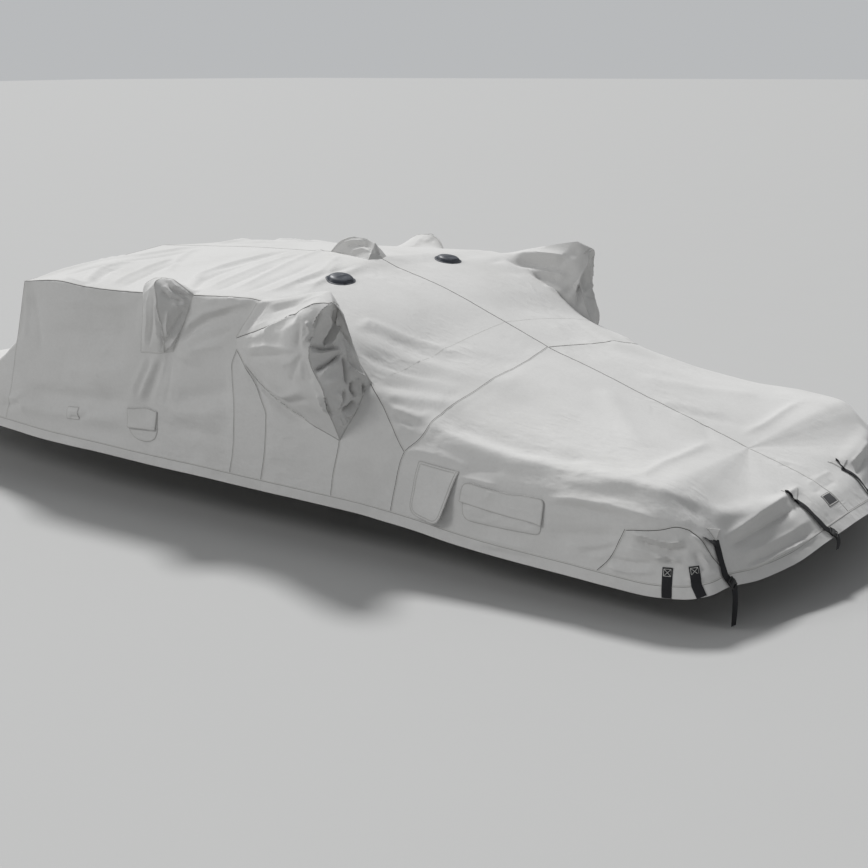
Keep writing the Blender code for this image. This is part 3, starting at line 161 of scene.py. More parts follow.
# a girth, the stations where its line starts and ends, and its runs
LEVELS = {
    "roof_edge_fore": (EDGE, FRONT, KNUCKLE_FORE, "roof_fore"),
    "edge_fore": (EDGE, KNUCKLE_FORE, KNUCKLE_FOOT[0], "knuckle"),
    "edge_aft": (EDGE, KNUCKLE_FOOT[0], KNUCKLE_AFT, "knuckle"),
    "roof_edge_aft": (EDGE, KNUCKLE_AFT, ROOF_END[0], "roof_mid"),
    "heel_edge": (EDGE, ROOF_END[0], HEEL_FOOT[0], "ridge"),
    "ridge_fore": (RIDGE, FRONT, HOOD_FORE[0], "roof_fore", "knuckle", "knuckle"),
    "ridge_end": (RIDGE, HOOD_END[0], ROOF_END[0], "one"),
    "ridge_aft": (RIDGE, ROOF_END[0], DECK_SEAM[0][0], "ridge", "end", "slant"),
    "ridge_deck": (RIDGE, DECK_SEAM[0][0], CORNER_FORE[0], "deck"),
    "ridge_corner": (RIDGE, CORNER_FORE[0], STERN_TURN, "corner"), "ridge_stern": (RIDGE, STERN_TURN, STERN, "stern"),
    "low_fore": (SEAM, FRONT, BAY_FORE[0], "roof_fore"), "low_bay": (SEAM, BAY_FORE[0], BAY_LOW, "knuckle", "knuckle"),
    "low_mid": (SEAM, BAY_LOW, GORE_LOW[0], "roof_mid"), "low_gore": (SEAM, *GORE_LOW, "gore"),
    "low_pocket": (SEAM, GORE_LOW[1], SIDE_LOW, "ridge"), "low_aft": (SEAM, SIDE_LOW, DECK_LOW, "crease", "slant"),
    "low_deck": (SEAM, DECK_LOW, CORNER_LOW[0], "deck"), "low_corner": (SEAM, *CORNER_LOW, "corner"),
    "low_stern": (SEAM, CORNER_LOW[1], STERN, "stern")}
# lines that follow one another
CHAINS = {
    "knuckle_foot": ("foot_fore", "foot_aft"), "knuckle_edge": ("knuckle_ridge_fore", "knuckle_ridge_aft"),
    "roof_edge": ("roof_edge_fore", "edge_fore", "edge_aft", "roof_edge_aft"),
    "roof_ridge": ("ridge_fore", "hood_foot", "hood_end", "ridge_end"), "heel_line": ("heel_edge", "heel", "slant"),
    "deck_ridge": ("ridge_deck", "ridge_corner", "ridge_stern"), "ridge": ("ridge_end", "ridge_aft", "deck_ridge"),
    "side_end": ("crease", "crease_low", "gore_fore"), "bay_fore_line": ("knuckle_fore", "bay_fore"),
    "bay_aft_line": ("knuckle_aft", "bay_aft"), "low_side": ("low_fore", "low_bay", "low_mid"),
    "aft_top": ("pocket_back", "slant"), "deck_foot": ("deck_line", "corner_top", "stern_line"),
    "stern_centre": ("centre", "centre_low"), "lift_line": ("pocket_ridge", "inner"),
    "hem": ("low_side", "low_gore", "low_pocket", "low_aft", "low_deck", "low_corner", "low_stern")}
# each panel's nets: their fore, aft, top and low lines, or the line that a hem hangs from
NETS = {
    "roof": (("front_top", "roof_end", "roof_ridge", "roof_edge"), ("roof_end", "deck", "ridge_aft", "heel_line")),
    "side_fore": (("front", "bay_fore_line", "roof_edge_fore", "low_fore"),
                  ("bay_fore_low", "bay_aft_low", "knuckle_foot", "low_bay"),
                  ("bay_aft_line", "side_end", "roof_edge_aft", "low_mid"), "low_side"),
    "gore": (("gore_fore", "gore_aft", "gore_tip", "low_gore"), "low_gore"),
    "side_mid": (("gore_aft", "side", "pocket_lower", "low_pocket"), "low_pocket"),
    "side_aft": (("side", "deck_low", "aft_top", "low_aft"), "low_aft"),
    "aft_deck": (("deck", "centre", "deck_ridge", "deck_foot"), ("deck_low", "corner_fore", "deck_line", "low_deck"),
                 "low_deck", ("corner_aft", "centre_low", "stern_line", "low_stern"), "low_stern"),
    "stern_corner": (("corner_fore", "corner_aft", "corner_top", "low_corner"), "low_corner")}
# the same for the pockets and the front wall, whose lines are points, and how much finer each is
POCKETS = {
    "front_wall": (1, ("wall_side", "front_head", "front_top", "front_foot")),
    "ridge_pocket": (2, ("crest_start", "hood_side", "crest", "hood_foot"),
                     ("hood_side", "hood_back", "crest_end", "hood_end")),
    "tower_pocket": (2, ("pocket_fall", "lip", "pocket_top", "pocket_lower")),
    "tower_pocket_end": (3, ("lip", "inner", "end_tip", "pocket_back")),
    "knuckle_gusset": (3, ("knuckle_fore", "knuckle", "gusset_edge", "gusset_foot")),
    "knuckle_pocket": (3, ("knuckle", "knuckle_aft", "knuckle_edge_aft", "knuckle_foot_aft"))}
SEAMS = ("hem", "gore_fore", "gore_aft", "side", "slant", "deck", "deck_low", "corner_fore", "corner_top",
         "corner_aft", "pocket_top", "pocket_lower", "crease", "lip", "inner", "pocket_back", "knuckle",
         "knuckle_edge", "knuckle_fore", "knuckle_aft", "knuckle_foot", "roof_edge_fore", "roof_edge_aft", "front",
         "front_top", "front_foot", "ridge", "ridge_fore", "bow_hem", "stern_centre")

# --- lines of the pockets, rows of (x, half breadth, z) -------------------------------------------------------
# their runs, and the place on the cloth that each starts from or ends at
POCKET_LINES = {
    "pocket_ridge": ("ridge", ROOF_END, None, (-2.700, 1.205, 1.168), (-2.470, 1.230, 1.218), (-2.330, 1.260, 1.238),
                     (-2.262, 1.320, 1.236)),
    "pocket_top": ("ridge", CREASE_FOOT, None, (-2.830, 1.290, 0.995), (-2.550, 1.345, 1.100),
                   (-2.420, 1.375, 1.165), (-2.262, 1.320, 1.236)),
    "pocket_fall": ("end", CREASE_FOOT, GORE_TIP),
    "lip": ("end", None, POCKET_FOOT, (-2.262, 1.320, 1.236), (-2.330, 1.400, 1.120), (-2.365, 1.425, 0.930),
            (-2.290, 1.405, 0.730)),
    "inner": ("end", None, POCKET_HEEL, (-2.262, 1.320, 1.236), (-2.320, 1.240, 1.165), (-2.365, 1.200, 1.065),
              (-2.300, 1.180, 0.950)),
    "knuckle_ridge_fore": ("knuckle", (KNUCKLE_FORE, EDGE), None, (-3.705, 1.240, 1.165), (-3.560, 1.240, 1.232)),
    "knuckle_ridge_aft": ("knuckle", None, (KNUCKLE_AFT, EDGE), (-3.560, 1.240, 1.232), (-3.470, 1.232, 1.195)),
    "knuckle": ("wall", None, KNUCKLE_FOOT, (-3.560, 1.240, 1.232), (-3.545, 1.330, 1.185), (-3.525, 1.335, 1.090),
                (-3.530, 1.305, 0.950)),
    "crest": ("crest", HOOD_FORE, None, (-3.290, 0.0, 1.312), (-3.205, 0.0, 1.338), (-3.110, 0.0, 1.334),
              (-3.035, 0.0, 1.318)),
    "hood_side": ("hood", None, HOOD_CORNER, (-3.035, 0.0, 1.318)),
    "hood_back": ("hood", None, HOOD_END, (-3.035, 0.0, 1.318))}

# --- folds: x, y, z at each end, half width, height, crease; y is a half breadth where both sides have it ------
MAIN_FOLDS = rows_of("""
-3.5 1.24 0.8 -3.72 1.27 0.45 0.05 0.012
-3.62 1.24 0.78 -3.86 1.27 0.45 0.045 -0.01
-3.4 1.22 0.9 -2.95 1.2 1.1 0.055 0.014
-3.45 1.23 0.8 -3.05 1.22 0.98 0.06 -0.01
-3.45 1.24 0.72 -2.95 1.26 0.6 0.08 0.012
-2.75 1.27 0.4 -2.42 1.28 0.36 0.07 -0.01
-2.15 1.1 0.9 -1.95 0.8 0.86 0.06 -0.012
-2.12 1.15 0.74 -1.86 1 0.7 0.04 0.012
-2.1 1.2 0.62 -1.84 1.16 0.6 0.035 -0.01
-2.1 0.98 0.95 -1.7 0.62 0.78 0.08 0.014
-2.25 0.95 1.02 -1.85 0.4 0.83 0.09 -0.01
-1.72 1.08 0.6 -1.05 1.1 0.5 0.11 -0.014
-1.5 0.75 0.68 -0.9 0.95 0.52 0.12 -0.016
-1.2 1.25 0.36 -0.62 1.25 0.33 0.045 0.014
-1.05 1.27 0.24 -0.72 1.27 0.2 0.06 -0.014
-1.3 0.25 0.62 -0.92 0.65 0.52 0.06 0.01
-0.3 0.95 0.32 -0.24 0.45 0.27 0.05 0.014
-0.18 0.8 0.18 -0.12 0.5 0.16 0.05 -0.014
-0.48 1.22 0.16 -0.27 1.13 0.17 0.04 -0.01
-0.55 1.24 0.22 -0.33 1.13 0.24 0.035 0.01
-4.75 0.95 1.12 -4.05 0.45 1.21 0.07 0.01
-4.55 1.05 1.13 -3.75 0.6 1.2 0.08 -0.01
-4.2 1.1 1.11 -3.4 0.75 1.19 0.08 0.012
-3.75 1 1.15 -3.1 0.55 1.2 0.09 -0.01
-3.1 0.9 1.16 -2.6 0.95 1.08 0.1 -0.012
-5.4 1 0.5 -5.2 0.4 0.72 0.11 -0.016
-6 0.85 0.36 -5.6 0.25 0.58 0.12 -0.016
""")


def smooth_rows(keys: Array, rows: Array, at: Array) -> Array:
    """Read rows between their keys on a curve that passes through each row and overshoots none.

    Each stretch is a cubic Hermite with the harmonic mean of its two neighbouring slopes as its tangent.

    Args:
        keys: Increasing key of each row.
        rows: One row of numbers for each key.
        at: Keys to read at.

    Returns:
        One row for each key read.
    """
    step = np.diff(keys)
    slope = np.diff(rows, axis=0) / step[:, None]
    tangent = np.zeros_like(rows)
    before, after = slope[:-1], slope[1:]
    same = before * after > 0
    weight_a = (2 * step[1:] + step[:-1])[:, None]
    weight_b = (step[1:] + 2 * step[:-1])[:, None]
    mean = (weight_a + weight_b) / (weight_a / np.where(same, before, 1) + weight_b / np.where(same, after, 1))
    tangent[1:-1] = np.where(same, mean, 0)
    tangent[0], tangent[-1] = slope[0], slope[-1]
    i = np.clip(np.searchsorted(keys, at, side="right") - 1, 0, len(step) - 1)
    t = ((at - keys[i]) / step[i])[:, None]
    h = step[i][:, None]
    return ((1 + 2 * t) * (1 - t) ** 2 * rows[i] + t * (1 - t) ** 2 * h * tangent[i]
            + t * t * (3 - 2 * t) * rows[i + 1] + t * t * (t - 1) * h * tangent[i + 1])


def lengths(line: Array, scale: Any = 1.0) -> Array:
    """Length along a line at each of its points, where scale weighs its columns."""
    return np.concatenate([[0], np.cumsum(np.linalg.norm(np.diff(line, axis=0) * scale, axis=1))])


def resample(rows: Any, count: int, scale: Sequence[float] = (1.0, 1.0, 1.0)) -> Array:
    """Space points evenly along the smooth curve through rows.

    Args:
        rows: Points, two or more.
        count: Steps between the first point and the last.
        scale: Weight of each column in the length.

    Returns:
        count + 1 points.
    """
    rows = np.asarray(rows, float)
    if len(rows) == 2:
        return rows[0] + (rows[1] - rows[0]) * np.linspace(0, 1, count + 1)[:, None]
    weight = np.array(scale[:rows.shape[1]])
    keys = lengths(rows, weight)
    fine = smooth_rows(keys, rows, np.linspace(0, keys[-1], max(40 * len(rows), 6 * count) + 1))
    length = lengths(fine, weight)
    at = np.interp(np.linspace(0, length[-1], count + 1), length, np.arange(len(fine)))
    low = np.clip(at.astype(int), 0, len(fine) - 2)
    return fine[low] + (fine[low + 1] - fine[low]) * (at - low)[:, None]


def seam_run(rows: Any, count: int) -> Array:
    """Places evenly along a seam, where a step in girth counts 0.7 of a step in station."""
    return resample(rows, count, (1.0, 0.7))


def chain(*runs: Array) -> Array:
    """Join runs that follow one another into one line of points."""
    return np.concatenate([runs[0]] + [run[1:] for run in runs[1:]])


def line_at(girth: float, start: float, end: float, count: int) -> Array:
    """Places along one girth from a station to another."""
    return np.stack([np.linspace(start, end, count + 1), np.full(count + 1, girth)], axis=1)


def between(fore: Array, aft: Array, top: Array, low: Array) -> Array:
    """Fill four lines with a net: the sum of the two ruled surfaces less the one through the corners.

    Args:
        fore: Line down the net's fore edge.
        aft: Line down its aft edge.
        top: Line aft along its top.
        low: Line aft along its foot.

    Returns:
        Net whose first index runs aft and whose second runs down.
    """
    u = np.linspace(0, 1, len(top))[:, None, None]
    v = np.linspace(0, 1, len(fore))[None, :, None]
    ruled = (1 - u) * fore[None] + u * aft[None] + (1 - v) * top[:, None] + v * low[:, None]
    return ruled - ((1 - u) * (1 - v) * fore[0] + u * (1 - v) * aft[0] + (1 - u) * v * fore[-1] + u * v * aft[-1])


def port_rows(rows: Iterable[Sequence[float]]) -> Array:
    """Points of the port side from rows of (x, half breadth, z)."""
    return np.array([(x, -y, z) for x, y, z in rows])


def value_noise(points: Array, seed: int) -> Array:
    """Smooth random heights from -1 to 1: random values on a unit lattice, blended with a quintic step.

    Args:
        points: Places, already divided by the size of the bumps.
        seed: Which field to read.

    Returns:
        One height for each point.
    """
    cell = np.floor(points).astype(np.int64)
    t = points - cell
    t = t * t * t * (t * (t * 6 - 15) + 10)
    total = np.zeros(len(points))
    for corner in range(8):
        step = np.array([(corner >> k) & 1 for k in range(3)])
        key = (cell + step) @ np.array([73856093, 19349663, 83492791]) + seed * 2654435761
        key = (key ^ (key >> 13)) * 1274126177 & 0x7FFFFFFF
        key = (key ^ (key >> 16)) * 668265263 & 0x7FFFFFFF
        weight = np.prod(np.where(step == 1, t, 1 - t), axis=1)
        total += weight * ((key % 65536) / 32767.5 - 1)
    return total


@dataclass(frozen=True)
class Sections:
    """Sections that the cloth is lofted through, each a row of BODY_ROWS or BOW_ROWS."""

    rows: Sequence[Sequence[float]]

    def lines(self, station: Array) -> tuple[Array, Array, Array, Array]:
        """Ridge, edge, rail, hem seam and hem of each station.

        Args:
            station: Stations to read.

        Returns:
            The five points of each, the crown, and how far in girth the edge and the rail are rounded.
        """
        table = np.array(self.rows)
        row = smooth_rows(table[:, 0], table[:, 1:], station)
        hem, rail, edge = row[:, 0:3], row[:, 3:6], row[:, 6:9]
        ridge = np.stack([row[:, 9], np.zeros(len(row)), row[:, 10]], axis=1)
        rise = rail - hem
        seam = hem + HEM_DEPTH * rise / np.linalg.norm(rise, axis=1)[:, None]
        return np.stack([ridge, edge, rail, seam, hem], axis=1), row[:, 11], row[:, 12], row[:, 13]

    def plain(self, places: Array) -> Array:
        """Unfolded cloth of the port side.

        Straight between the section's lines, rounded over edge and rail by a parabola as wide as the turn,
        and crowned between ridge and edge by 4 c g (1 - g).

        Args:
            places: Rows of (station, girth).

        Returns:
            A point for each place.
        """
        station, girth = places[:, 0], places[:, 1]
        points, crown, edge_turn, rail_turn = self.lines(station)
        low = np.clip(np.floor(girth).astype(int), 0, 3)
        each = np.arange(len(girth))
        part = (girth - low)[:, None]
        found = points[each, low] * (1 - part) + points[each, low + 1] * part
        for corner, turn in ((1, edge_turn), (2, rail_turn)):
            past = girth - corner
            bend = np.abs(past) < turn
            width = np.where(bend, turn, 1.0)[:, None]
            before = points[:, corner] - points[:, corner - 1]
            after = points[:, corner + 1] - points[:, corner]
            far = past[:, None]
            round_ = points[:, corner] + (after * (width + far) ** 2 - before * (width - far) ** 2) / (4 * width)
            found = np.where(bend[:, None], round_, found)
        found[:, 2] += np.where(girth < 1, 4 * crown * girth * (1 - girth), 0)
        found[:, 1] *= -1
        return found

    def cloth(self, places: Any) -> Array:
        """Cloth of the port side with its main folds, for places (station, girth).

        Args:
            places: station and girth in the last axis.

        Returns:
            x, y, z in the last axis.
        """
        places = np.asarray(places, float).reshape(-1, 2)
        ahead = self.plain(places + (STEP, 0)) - self.plain(places - (STEP, 0))
        down = (self.plain(np.clip(places + (0, STEP), None, HEM))
                - self.plain(np.clip(places - (0, STEP), RIDGE, None)))
        normal = np.cross(down, ahead)
        size = np.linalg.norm(normal, axis=1)[:, None]
        normal = np.where(size > 1e-9, normal / np.maximum(size, 1e-9), (0, 0, 1))
        points = self.plain(places)
        fade = (np.clip((SEAM - places[:, 1]) / HEM_FADE, 0, 1)
                * np.clip(np.abs(places[:, 0] - FRONT) / FRONT_FADE, 0, 1))
        return points + normal * (fade * main_fold_height(points))[:, None]


def main_fold_height(points: Array) -> Array:
    """Height of the main folds: each a bell across its line, of the given half width, faded on the centreline.

    Args:
        points: places (station, girth), one in each row.

    Returns:
        A height in metres for each place.
    """
    lift = np.zeros(len(points))
    for x1, y1, z1, x2, y2, z2, half_width, height in MAIN_FOLDS:
        start, end = np.array((x1, -y1, z1)), np.array((x2, -y2, z2))
        run = end - start
        along = np.clip(((points - start) @ run) / (run @ run), 0, 1)
        across = np.linalg.norm(points - start - along[:, None] * run, axis=1)
        lift += height * np.exp(-((across / half_width) ** 2))
    return lift * np.clip(np.abs(points[:, 1]) / RIDGE_FADE, 0, 1)


BODY, BOW = Sections(BODY_ROWS), Sections(BOW_ROWS)


def cloth_net(sections: Sections, places: Array) -> Array:
    """A net of places laid on the cloth."""
    return sections.cloth(places.reshape(-1, 2)).reshape(places.shape[:-1] + (3,))


def at(place: Sequence[float]) -> Array:
    """The point of cloth at one place."""
    return BODY.cloth([place])[0]


@dataclass
class Pattern:
    """The cut of the cover: every panel's nets and every seam's line, port side.

    A line is either places (station, girth) or points (x, y, z).
    """

    fineness: int = FINENESS
    nets: dict[str, list[Array]] = field(default_factory=dict)
    line: dict[str, Array] = field(default_factory=dict)

    PULL_FADE = 1.1
    BELOW_EDGE = (2, 7 / 3, 8 / 3, SEAM)

    def count(self, *runs: str) -> int:
        """Fine rows of one or more runs together."""
        return sum(ROWS[run] for run in runs) * self.fineness

    def points(self, name: str) -> Array:
        """A line as points, laid on the cloth if it is made of places."""
        line = self.line[name]
        return line if line.shape[1] == 3 else BODY.cloth(line)

    @property
    def seams(self) -> dict[str, Array]:
        """Points of every sewn seam, in the order in which they are sewn."""
        return {name: self.points(name) for name in SEAMS}

    def lifted(self, net: Array, targets: Array, first: int) -> Array:
        """Pull the feet of a net's columns up to targets.

        The pull fades over the rows past the crease as ((r - c) / (1 - c)) to the power 1.1, where r runs from 0
        at the column's head to 1 at its foot and c is the crease.

        Args:
            net: Net to change.
            targets: Where the columns' feet go.
            first: First column to pull.

        Returns:
            The net.
        """
        past = 2 / ROWS["across"]
        weight = np.clip((np.linspace(0, 1, net.shape[1]) - 1 + past) / past, 0, 1) ** self.PULL_FADE
        pull = targets - net[first:first + len(targets), -1]
        net[first:first + len(targets)] += pull[:, None] * weight[None, :, None]
        return net

    def hem(self, low: Array) -> Array:
        """The turned hem under a run of places on the hem seam.

        Args:
            low: points of the hem seam.

        Returns:
            A net of points.
        """
        rows = np.linspace(SEAM, HEM, self.fineness + 1)
        places = np.stack([np.repeat(low[:, :1], len(rows), axis=1), np.tile(rows, (len(low), 1))], axis=2)
        return cloth_net(BODY, places)

    @staticmethod
    def finer(net: Array, times: int) -> Array:
        """A net with times as many rows and columns, through the same points.

        Args:
            net: points in rows and columns.
            times: how many for each one.

        Returns:
            The new net.
        """
        for _ in range(2 if times > 1 else 0):
            count = (net.shape[0] - 1) * times
            place = np.linspace(0, net.shape[0] - 1, count + 1)
            low = np.minimum(place.astype(int), net.shape[0] - 2)
            part = (place - low)[:, None, None]
            net = (net[low] * (1 - part) + net[low + 1] * part).swapaxes(0, 1)
        return net

    @staticmethod
    def level(station: float, girths: Array) -> Array:
        """Places down one station."""
        return np.stack([np.full(len(girths), station), girths], axis=1)

    def draw(self) -> None:
        """Draw every line, first those of the tables, then those that come of others."""
        line, count, fine = self.line, self.count, self.fineness
        across = count("across")
        rows = np.interp(np.arange(across + 1), (0, across - 2 * fine, across), (RIDGE, CREASE, EDGE))
        for name, (run, *places) in CURVES.items():
            line[name] = seam_run(places, count(run))
        for name, (girth, start, end, *runs) in LEVELS.items():
            line[name] = line_at(girth, start, end, count(*runs))
        for name, (run, start, end, *places) in POCKET_LINES.items():
            first, last = ([at(place)] if place else [] for place in (start, end))
            middle = [port_rows(places)] if places else []
            line[name] = resample(np.vstack(first + middle + last), count(run))
        front_girths = np.concatenate([np.linspace(EDGE, BOW_TURN, 5), [(BOW_TURN + 2) / 2], self.BELOW_EDGE])
        front = np.interp(np.linspace(0, 9, count("girth") + 1), np.arange(10), front_girths)
        stations = np.interp(np.linspace(0, len(BOW_ROWS) - 1, count("bow") + 1), np.arange(len(BOW_ROWS)),
                             [row[0] for row in BOW_ROWS])
        bow_girths = np.interp(np.linspace(0, 6, count("bow_girth") + 1)[1:], np.arange(7),
                               [1, 1.5, *self.BELOW_EDGE, HEM])
        bow_places = np.meshgrid(stations, np.concatenate([rows, bow_girths]), indexing="ij")
        line.update(
            bow=np.stack(bow_places, axis=-1),
            deck=seam_run(DECK_SEAM, 10 * across)[np.round(rows * 10 * across).astype(int)],
            front_top=self.level(FRONT, rows), roof_end=self.level(ROOF_END[0], rows),
            front=self.level(FRONT, front), centre=self.level(STERN, np.linspace(RIDGE, RAIL, across + 1)),
            centre_low=self.level(STERN, np.linspace(RAIL, SEAM, count("below") + 1)),
            gore_tip=np.repeat([GORE_TIP], count("gore") + 1, axis=0))
        for name, parts in CHAINS.items():
            line[name] = chain(*(line[part] for part in parts))
        wall, knuckle, foot = count("wall"), count("knuckle"), BOW.cloth(line["front_top"])
        line.update(
            bay_fore_low=line["bay_fore_line"][wall:], bay_aft_low=line["bay_aft_line"][wall:],
            front_head=line["front"][:wall + 1], front_foot=foot,
            wall_side=resample([self.points("front_top")[0], foot[0]], wall),
            bow_hem=BOW.cloth(np.stack([stations, np.full(len(stations), SEAM)], axis=1)),
            crest_start=np.repeat(line["crest"][:1], count("hood") + 1, axis=0),
            crest_end=np.repeat(line["crest"][-1:], fine + 1, axis=0),
            end_tip=np.repeat(line["lip"][:1], count("crease") + 1, axis=0),
            gusset_edge=line["knuckle_edge"][:knuckle + 1], knuckle_edge_aft=line["knuckle_edge"][knuckle:],
            gusset_foot=line["knuckle_foot"][:knuckle + 1], knuckle_foot_aft=line["knuckle_foot"][knuckle:])

    def cut(self) -> None:
        """Draw every line and cut every net."""
        self.draw()
        line = self.line
        for name, parts in NETS.items():
            self.nets[name] = [self.hem(line[part]) if isinstance(part, str)
                               else cloth_net(BODY, between(*(line[edge] for edge in part))) for part in parts]
        roof, aft = self.nets["roof"]
        self.nets["roof"] = [
            self.lifted(roof, line["knuckle_edge"], self.count("roof_fore")), self.lifted(aft, line["lift_line"], 0),
            between(self.points("crease"), line["end_tip"], line["pocket_ridge"], line["pocket_top"])]
        self.nets["bow"] = [cloth_net(BOW, line["bow"])]
        for name, (times, *nets) in POCKETS.items():
            self.nets[name] = [self.finer(between(*map(self.points, net)), times) for net in nets]


# --- finishes -------------------------------------------------------------------------------------------------
def math_node(operation: str, swapped: bool = False) -> Callable[..., "Value"]:
    """A method of Value that adds a Math node with this operation, on the operands in turn or swapped.

    Args:
        operation: name of the Math node's operation.
        swapped: whether self is the last operand.

    Returns:
        The method.
    """

    def method(self: "Value", *others: Any) -> "Value":
        """Add the node and give its output."""
        operands = (*others, self) if swapped else (self, *others)
        return self.graph.add("ShaderNodeMath", {"operation": operation}, dict(enumerate(operands)))

    return method


class Value:
    """One output socket of a node graph, with arithmetic that adds Math nodes."""

    def __init__(self, graph: "Graph", socket: bpy.types.NodeSocket) -> None:
        """Wrap a socket of a graph."""
        self.graph, self.socket = graph, socket

    __add__ = __radd__ = math_node("ADD")
    __mul__ = __rmul__ = math_node("MULTIPLY")
    __sub__, __rsub__ = math_node("SUBTRACT"), math_node("SUBTRACT", swapped=True)
    sine, size = math_node("SINE"), math_node("ABSOLUTE")

    def ramp(self, low: float, high: float) -> "Value":
        """0 at low, 1 at high, smooth between and held outside."""
        return self.graph.add("ShaderNodeMapRange", {"interpolation_type": "SMOOTHSTEP"},
                              {"Value": self, "From Min": low, "From Max": high})


class Graph:
    """The node graph of one material."""

    def __init__(self, name: str) -> None:
        """Start a material with a shader and its output.

        Args:
            name: name of the material.
        """
        self.material = bpy.data.materials.new(name)
        self.material.use_nodes = True
        self.tree = self.material.node_tree
        self.tree.nodes.clear()
        self.shader = self.tree.nodes.new("ShaderNodeBsdfPrincipled")
        output = self.tree.nodes.new("ShaderNodeOutputMaterial")
        self.tree.links.new(self.shader.outputs["BSDF"], output.inputs["Surface"])

    def add(self, kind: str, settings: dict[str, Any] | None = None, sockets: dict[Any, Any] | None = None,
            output: Any = 0) -> Value:
        """Add a node.

        Args:
            kind: The node's type.
            settings: Properties to set first.
            sockets: Values or links of its inputs, by name or number.
            output: Which output to return.

        Returns:
            The output.
        """
        node = self.tree.nodes.new(kind)
        for name, value in (settings or {}).items():
            setattr(node, name, value)
        for name, value in (sockets or {}).items():
            self.put(node.inputs[name], value)
        return Value(self, node.outputs[output])

    def place(self) -> Value:
        """Place on the object, in metres."""
        return self.add("ShaderNodeTexCoord", None, None, "Object")

    def cut(self) -> tuple[Value, Value]:
        """Place across and along the piece's own cut."""
        node = self.add("ShaderNodeSeparateXYZ", None, {0: self.add("ShaderNodeUVMap", {"uv_map": "cut"})}).socket.node
        return Value(self, node.outputs[0]), Value(self, node.outputs[1])

    def put(self, socket: bpy.types.NodeSocket, value: Any) -> None:
        """Set an input to a number or colour, or link a value to it.

        Args:
            socket: the input.
            value: a number, a colour or a Value.
        """
        if isinstance(value, Value):
            self.tree.links.new(value.socket, socket)
        else:
            socket.default_value = value

    def blend(self, part: Any, first: Any, second: Any) -> Value:
        """Mix two colours.

        Args:
            part: share of the second.
            first: a colour.
            second: a colour.

        Returns:
            The mixed colour.
        """
        node = self.tree.nodes.new("ShaderNodeMix")
        node.data_type = "RGBA"
        self.put(node.inputs[0], part)
        self.put(node.inputs[6], first)
        self.put(node.inputs[7], second)
        return Value(self, node.outputs[2])

    def noise(self, vector: Value, scale: float, detail: float = 3.0, roughness: float = 0.5) -> Value:
        """Noise from 0 to 1 at a number of bumps per metre."""
        return self.add("ShaderNodeTexNoise", None, {"Vector": vector, "Scale": scale, "Detail": detail,
                                                      "Roughness": roughness})

    def bump(self, height: Value, strength: float, distance: float, under: Value | None = None) -> Value:
        """Tilt the normal by a height in metres times distance.

        Args:
            height: the height.
            strength: share of the tilt.
            distance: metres in a unit of height.
            under: a normal to start from.

        Returns:
            The new normal.
        """
        sockets: dict[Any, Any] = {"Strength": strength, "Distance": distance, "Height": height}
        if under is not None:
            sockets["Normal"] = under
        return self.add("ShaderNodeBump", None, sockets)

    def surface(self, **sockets: Any) -> bpy.types.Material:
        """Set the shader's inputs, with spaces written as underscores, and return the material.

        Returns:
            The material.
        """
        for name, value in sockets.items():
            self.put(self.shader.inputs[name.replace("_", " ")], value)
        return self.material


def shade(colour: Sequence[float], factor: float = 1.0) -> tuple[float, float, float, float]:
    """A colour with alpha, scaled by a factor."""
    return colour[0] * factor, colour[1] * factor, colour[2] * factor, 1.0


@dataclass(frozen=True)
class CanvasFinish:
    """Light grey acrylic canvas: plain weave with painted shade in its hollows, a little soil in the mottle, matt."""

    name: str = "canvas"
    colour: tuple[float, float, float] = (0.61, 0.605, 0.595)
    soil: tuple[float, float, float] = (0.51, 0.505, 0.49)
    thread: float = 0.0011
    stretch: tuple[float, float, float] = (1.0, 2.4, 2.0)

    def make(self) -> bpy.types.Material:
        """Weave from two crossed sines on the cut's own UV, with painted shade in its hollows, mottle from noise on
        the object's place.

        Returns:
            The material.
        """
        graph = Graph(self.name)
        place = graph.place()
        across, along = graph.cut()
        turn = 2 * math.pi / self.thread
        warp, weft = (across * turn).sine(), (along * turn).sine()
        weave = warp * weft
        mottle = graph.noise(place, 2.2, 4.0, 0.55).ramp(0.42, 0.72)
        fine = graph.noise(place, 55.0, 3.0, 0.6)
        base = graph.blend(mottle * 0.35, shade(self.colour), shade(self.soil))
        base = graph.blend(fine.ramp(0.35, 0.75) * 0.10, base, shade(self.soil, 0.8))
        # painted shade: where the weave's bump is low, between the threads, the colour is mixed towards a darker soil
        # tone
        base = graph.blend((weave * -0.5 + 0.5) * 0.12, base, shade(self.soil, 0.7))
        stretched = graph.add("ShaderNodeVectorMath", {"operation": "MULTIPLY"}, {0: place, 1: self.stretch})
        patchy = graph.noise(place, 1.7, 2.0).ramp(0.42, 0.62)
        crease = (1 - ((graph.noise(stretched, 5.5, 2.5, 0.45) - 0.5).size() * 5.0)).ramp(0.0, 1.0) * patchy
        height = graph.bump(weave, 0.35, 0.00025)
        height = graph.bump(graph.noise(place, 26.0, 5.0, 0.6), 0.32, 0.0040, height)
        height = graph.bump(crease, 0.36, 0.0065, height)
        return graph.surface(Base_Color=base, Roughness=fine * 0.08 + 0.82, Normal=height, Specular_IOR_Level=0.25,
                             Sheen_Weight=0.15, Sheen_Roughness=0.5)


